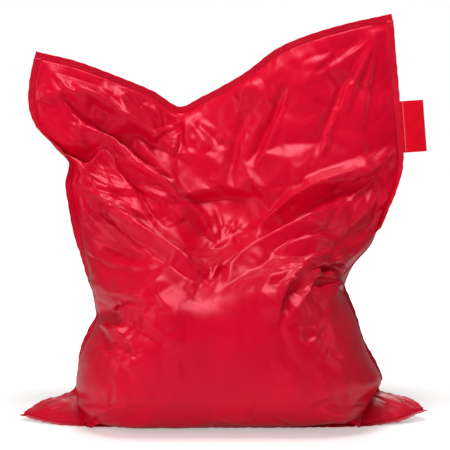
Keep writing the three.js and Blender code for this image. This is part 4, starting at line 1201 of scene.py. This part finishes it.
def patch(low, high, columns, rows, lift):
    """A level grid of points between two corners (x, z), at a height in y that lift gives."""
    x, z = np.meshgrid(np.linspace(low[0], high[0], columns), np.linspace(low[1], high[1], rows))
    return np.stack([x, lift(x, z) + 0 * x, z], axis=-1)


EDGE_THIN, HEM_THIN = 0.55, 0.62  # a band's thickness at its edges, and inside its hem, as shares


def strip(name, box, material, body, slot, *nodes, columns, rows, wave=0.0, ribs=0.0, hem_width=0.0, seed=0):
    """A band of cloth inside a box, thin towards its edges, with ribs, waves and a thicker hem."""
    low, high = np.array(box[0], float), np.array(box[1], float)
    random = np.random.default_rng(seed)
    phase = random.uniform(0, 2 * np.pi, 4)
    half, middle_y = (high[1] - low[1]) / 2, (high[1] + low[1]) / 2

    def centre(x, z):
        out = np.sin(x / 0.083 + phase[0]) + 0.6 * np.sin(x / 0.031 + z / 0.02 + phase[1])
        return middle_y + wave * out * (high[2] - z) / (high[2] - low[2])

    def thick(x, z):
        from_edge = np.minimum(np.minimum(x - low[0], high[0] - x), np.minimum(z - low[2], high[2] - z))
        body_half = half * (EDGE_THIN + (1 - EDGE_THIN) * smooth(from_edge, 0, 1.2 * MM))
        if hem_width:
            on_hem = 1 - smooth(from_edge, hem_width, hem_width + 2 * MM)
            body_half = body_half * (HEM_THIN + (1 - HEM_THIN) * on_hem)
        return body_half + ribs * np.sin(x / (1.1 * MM))

    corners = (low[0], low[2]), (high[0], high[2])
    outer = patch(*corners, columns, rows, lambda x, z: centre(x, z) + thick(x, z))
    inner = patch(*corners, columns, rows, lambda x, z: centre(x, z) - thick(x, z))
    points, faces = slab(outer[:, ::-1], inner[:, ::-1])
    return add_piece(name, points, faces, material, body, slot, *nodes)


def sewn(name, rows_of_stitches, body):
    """Straight rows of stitches, each given by its ends and the way that they face."""
    starts, ends, ups = [], [], []
    for a, b, up in rows_of_stitches:
        a, b = np.array(a, float), np.array(b, float)
        run = np.linalg.norm(b - a)
        at = np.arange(0, run - STITCH, STITCH + STITCH_GAP)[:, None]
        way = (b - a) / run
        starts.append(a + way * at)
        ends.append(a + way * (at + STITCH))
        ups.append(np.tile(np.array(up, float), (len(at), 1)))
    points, faces = stitches(np.vstack(starts), np.vstack(ends), np.vstack(ups))
    return add_piece(name, points, faces, thread, body, "red_thread")


BACKWARDS = (0, 1, 0)
SLOT_HALF = 7 * MM  # half the gap between the two folded edges
EDGE_PAST, EDGE_LONGER = 7 * MM, 10 * MM  # how far they reach past the tapes, up and down and at the ends
EDGE_FACE = BACK_FACE - 0.3 * MM
EDGE_FOLD = 1.3 * MM  # their thickness
EDGE_STITCHING = (3 * MM, 9 * MM)  # how far in the rows of stitches run
BARS, BAR_START, BAR_STEP = 4, 2, 1.6  # the threads of a bar tack: how many, and their places in millimetres


def zip_surround():
    """The back panel's folded edges along the zip, sewn through the tapes, and a bar tack at each end."""
    reach = TAPE_REACH + EDGE_PAST
    rows = []
    for name, way in (("zip_edge_upper", 1), ("zip_edge_lower", -1)):
        near, far = ZIP_MIDDLE + way * SLOT_HALF, ZIP_MIDDLE + way * reach
        x = ZIP_CENTRE_X + np.linspace(-1, 1, 160) * (ZIP_HALF + EDGE_LONGER)
        t = np.linspace(0, 1, 12)
        fold = EDGE_FOLD * np.sqrt(np.clip(1 - (1 - np.clip(t / 0.14, 0, 1)) ** 2, 0, 1))
        sag = 0.5 * MM * np.sin(x / 0.041) + 0.3 * MM * np.sin(x / 0.0173)
        z = near + (far - near) * t[:, None] + way * sag[None] * (1 - t[:, None])
        xs = np.repeat(x[None], len(t), axis=0)
        face = np.full(xs.shape, EDGE_FACE) - 0.8 * MM * smooth(t, 0.8, 1)[:, None]
        outer = np.stack([xs, face, z], axis=-1)
        inner = outer - np.array([0, 1, 0]) * np.maximum(fold, 0.1 * MM)[:, None, None]
        points, faces = slab(outer, inner) if way < 0 else slab(outer[::-1], inner[::-1])
        add_piece(name, points, faces, hem_nylon, "bag", "red_fabric")
        for off in EDGE_STITCHING:
            level = near + way * off
            ends = [(ZIP_CENTRE_X + side * (ZIP_HALF + 6 * MM), EDGE_FACE, level) for side in (-1, 1)]
            rows.append((*ends, BACKWARDS))
    for side in (-1, 1):
        for n in range(BARS):
            x = ZIP_CENTRE_X + side * (ZIP_HALF + (BAR_START + BAR_STEP * n) * MM)
            half = SLOT_HALF + 2 * MM
            ends = [(x, BACK_FACE - 0.2 * MM, level) for level in (ZIP_MIDDLE - half, ZIP_MIDDLE + half)]
            rows.append((*ends, BACKWARDS))
    sewn("zip_stitches", rows, "bag")


def zip_coil(which):
    """One row of the zip's coil: a monofilament wound round and round."""
    low, high = (np.array(c, float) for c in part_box("zip_coil_" + which))
    pitch, wire = 1.6 * MM, 0.33 * MM
    per_turn, sides = 10, 5
    turns = int((high[0] - low[0] - 2 * wire) / pitch)
    t = np.arange(turns * per_turn + 1) / per_turn
    half = (high - low) / 2 - wire
    middle_of = (high + low) / 2
    angle = 2 * np.pi * t
    round_y, round_z = half[1] * np.cos(angle), half[2] * np.sin(angle)
    centre = np.stack([low[0] + wire + t * pitch, middle_of[1] + round_y, middle_of[2] + round_z], axis=-1)
    tangent = unit(np.gradient(centre, axis=0))
    side = unit(np.cross(tangent, [1.0, 0, 0]))
    up = np.cross(side, tangent)
    turn = 2 * np.pi * np.arange(sides) / sides
    ring = side[:, None] * np.cos(turn)[:, None] + up[:, None] * np.sin(turn)[:, None]
    points = (centre[:, None] + ring * wire).reshape(-1, 3)
    faces, node = tube_faces(len(t), sides), "zip_coil_" + which
    add_piece("zip_coil_teeth_" + which, points, faces, coil_red, "bag", "zip_coil", node)


PILE_BASE = 0.7 * MM
PILE_STEP = 2.1 * MM
PILE_THREAD = dict(radius=0.16 * MM, bulge=0.75 * MM, sink=0.1 * MM, sides=3, rings=4)


def pile(name, box, way, body, node, seed):
    """A touch tape: a woven strip with rows of small threads standing on it."""
    low, high = np.array(box[0], float), np.array(box[1], float)
    base = [low.copy(), high.copy()]
    if way > 0:
        base[1][1] = low[1] + PILE_BASE
    else:
        base[0][1] = high[1] - PILE_BASE
    strip(name, base, pile_cloth, body, "touch_tape", node, columns=120, rows=6)
    random = np.random.default_rng(seed)
    across = np.arange(low[0] + 2 * MM, high[0] - 2 * MM, PILE_STEP)
    up = np.arange(low[2] + 1.5 * MM, high[2] - 1 * MM, PILE_STEP)
    x, z = (g.ravel() + random.uniform(-0.5, 0.5, g.size) * MM for g in np.meshgrid(across, up))
    face = base[1][1] if way > 0 else base[0][1]
    lean = random.uniform(-0.6, 0.6, (2, x.size)) * MM
    start = np.stack([x, np.full(x.size, face), z], axis=-1)
    end = start + np.stack([1.1 * MM + lean[0], 0 * x, lean[1]], axis=-1)
    points, faces = stitches(start, end, np.tile([0.0, way, 0], (x.size, 1)), **PILE_THREAD)
    add_piece(name + "_threads", points, faces, pile_cloth, body, "touch_tape")


FLAP_HEM, FLAP_STITCHING = 9 * MM, 7 * MM  # its hem's width, and how far in the stitches run


def zip_and_flap():
    """The zip's tapes and coils, its metal parts, the flap over it with its band, and the touch tapes."""
    for which, tape in (("upper", UPPER_TAPE), ("lower", LOWER_TAPE)):
        strip(
            "zip_cloth_" + which, tape, tape_cloth, "bag", "zip_tape", "zip_tape_" + which,
            columns=400, rows=8, ribs=0.05 * MM,
        )
        zip_coil(which)
    zip_surround()
    for name in ("zip_stop_left", "zip_stop_right", "zip_slider"):
        obj = frame["nodes"][name]
        obj.data.materials.clear()
        obj.data.materials.append(steel)
        rounded = obj.modifiers.new("rounded", "BEVEL")
        rounded.width = 0.25 * MM
        rounded.segments = 2

    flap = strip(
        "zip_flap_cloth", FLAP_BOX, nylon, "flap", "red_fabric", "zip_flap",
        columns=220, rows=26, wave=0.25 * MM, hem_width=FLAP_HEM, seed=SEED + 20,
    )
    low, high = FLAP_BOX
    left, right = low[0] + FLAP_STITCHING, high[0] - FLAP_STITCHING
    bottom, top = low[2] + FLAP_STITCHING, high[2] - 2 * MM
    corners = (left, bottom), (right, bottom), (left, bottom), (left, top), (right, bottom), (right, top)
    rows = []
    for way, face in ((1, high[1]), (-1, low[1])):
        for a, b in zip(corners[::2], corners[1::2]):
            rows.append(((a[0], face, a[1]), (b[0], face, b[1]), (0, way, 0)))
    seam = sewn("zip_flap_stitches", rows, "flap")

    strip(
        "flap_root_cloth", ROOT_BOX, nylon, "bag", "red_fabric", "flap_root_band",
        columns=220, rows=12, seed=SEED + 21,
    )
    low, high = ROOT_BOX
    rows = []
    for z in (low[2] + 4 * MM, high[2] - 3 * MM):
        rows.append(((low[0] + 4 * MM, high[1], z), (high[0] - 4 * MM, high[1], z), BACKWARDS))
    sewn("flap_root_stitches", rows, "bag")
    pile("flap_loop_tape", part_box("flap_loop_strip"), 1, "bag", "flap_loop_strip", SEED + 22)
    pile("flap_hook_tape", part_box("flap_hook_strip"), -1, "flap", "flap_hook_strip", SEED + 23)


CARE_CURL = 1.2 * MM


def care_label():
    """A blank white label, sewn on along its top edge, with its free edge curling out a little."""
    low, high = CARE_BOX

    def curl(x, z):
        down = (high[2] - z) / (high[2] - low[2])
        return high[1] + CARE_CURL * down**2 * (1 + 0.4 * np.sin(x / 0.011))

    outer = patch((low[0], low[2]), (high[0], high[2]), 30, 20, curl)
    inner = outer - np.array([0, high[1] - low[1], 0])
    points, faces = slab(outer[:, ::-1], inner[:, ::-1])
    cloth = add_piece("care_label_cloth", points, faces, care_cloth, "bag", "care_fabric", "care_label")
    ends = [(x, high[1], high[2] - 3 * MM) for x in (low[0] + 1 * MM, high[0] - 1 * MM)]
    row = sewn("care_label_stitches", [(*ends, BACKWARDS)], "bag")


zip_and_flap()
care_label()


# ---- Stage ---------------------------------------------------------------------------------------


FLOOR_REACH = 30.0
FLOOR_GLOW, FLOOR_FADE = (0.36, 1.0), (0.6, 2.2)  # its strength near the bag and far away, and where that is
WORLD_LIGHT = 0.12  # how strongly the room lights the bag, when it looks as bright as 1
EYE, AIM = (-0.007, -4.585, 0.92), (-0.007, 0.015, 0.639)
LENS, SENSOR = 109.8, 36.0  # millimetres


def floor():
    """A white floor. It glows to look at, more so away from the bag, so that it goes over into the room."""
    mesh = bpy.data.meshes.new("floor")
    corners = [(x * FLOOR_REACH, y * FLOOR_REACH, 0) for x, y in ((-1, -1), (1, -1), (1, 1), (-1, 1))]
    mesh.from_pydata(corners, [], [(0, 1, 2, 3)])
    obj = new_object("floor", mesh)
    nodes = Nodes("floor_white")
    distance = nodes.add("ShaderNodeVectorMath", {0: nodes.place}, operation="LENGTH").outputs["Value"]
    seen = nodes.add("ShaderNodeLightPath").outputs["Is Camera Ray"]
    glow = nodes.math("MULTIPLY", nodes.spread(distance, *FLOOR_GLOW, *FLOOR_FADE), seen)
    nodes.tree.links.new(glow, nodes.shader.inputs["Emission Strength"])
    nodes.shader.inputs["Emission Color"].default_value = (1, 1, 1, 1)
    colour = nodes.mix(nodes.noise(2.0), (0.84, 0.84, 0.84), (0.88, 0.88, 0.88))
    mesh.materials.append(nodes.finish(colour, None, None, Specular_IOR_Level=0.1))


def light(name, location, target, size, power, shines=True):
    """A soft light aimed at a target. One that doesn't shine isn't seen in reflections."""
    data = bpy.data.lights.new(name, "AREA")
    data.shape = "RECTANGLE"
    data.size, data.size_y = size
    data.energy = power
    obj = bpy.data.objects.new(name, data)
    bpy.context.scene.collection.objects.link(obj)
    obj.location = location
    obj.rotation_euler = (Vector(target) - Vector(location)).to_track_quat("-Z", "Y").to_euler()
    obj.visible_glossy = shines


def studio():
    """A white room that is brighter to look at than it lights, and five soft lights round the bag."""
    world = bpy.data.worlds.new("studio")
    bpy.context.scene.world = world
    world.use_nodes = True
    tree = world.node_tree
    seen = tree.nodes.new("ShaderNodeLightPath").outputs["Is Camera Ray"]
    strength = tree.nodes.new("ShaderNodeMapRange")
    tree.links.new(seen, strength.inputs["Value"])
    strength.inputs["To Min"].default_value, strength.inputs["To Max"].default_value = WORLD_LIGHT, 1.0
    tree.nodes["Background"].inputs["Color"].default_value = (1, 1, 1, 1)
    tree.links.new(strength.outputs["Result"], tree.nodes["Background"].inputs["Strength"])
    light("overhead", (0.0, -0.35, 3.2), (0, -0.1, 0.6), (1.3, 1.1), 50)
    light("front_fill", (-1.3, -4.2, 1.0), (0, 0, 0.4), (2.4, 1.4), 100, shines=False)
    light("left_strip", (-3.2, -1.2, 1.8), (0, 0, 0.7), (0.6, 2.0), 20)
    light("right_strip", (3.2, -1.2, 1.8), (0, 0, 0.7), (0.6, 2.0), 12)
    light("behind", (0.3, 3.6, 2.2), (0, 0, 0.6), (2.6, 1.6), 48)
    bpy.context.scene.view_settings.view_transform = "Standard"


def camera():
    data = bpy.data.cameras.new("camera")
    obj = bpy.data.objects.new("camera", data)
    bpy.context.scene.collection.objects.link(obj)
    bpy.context.scene.camera = obj
    data.sensor_width = SENSOR
    data.lens = LENS
    obj.location = EYE
    obj.rotation_euler = (Vector(AIM) - Vector(EYE)).to_track_quat("-Z", "Y").to_euler()


floor()
studio()
camera()
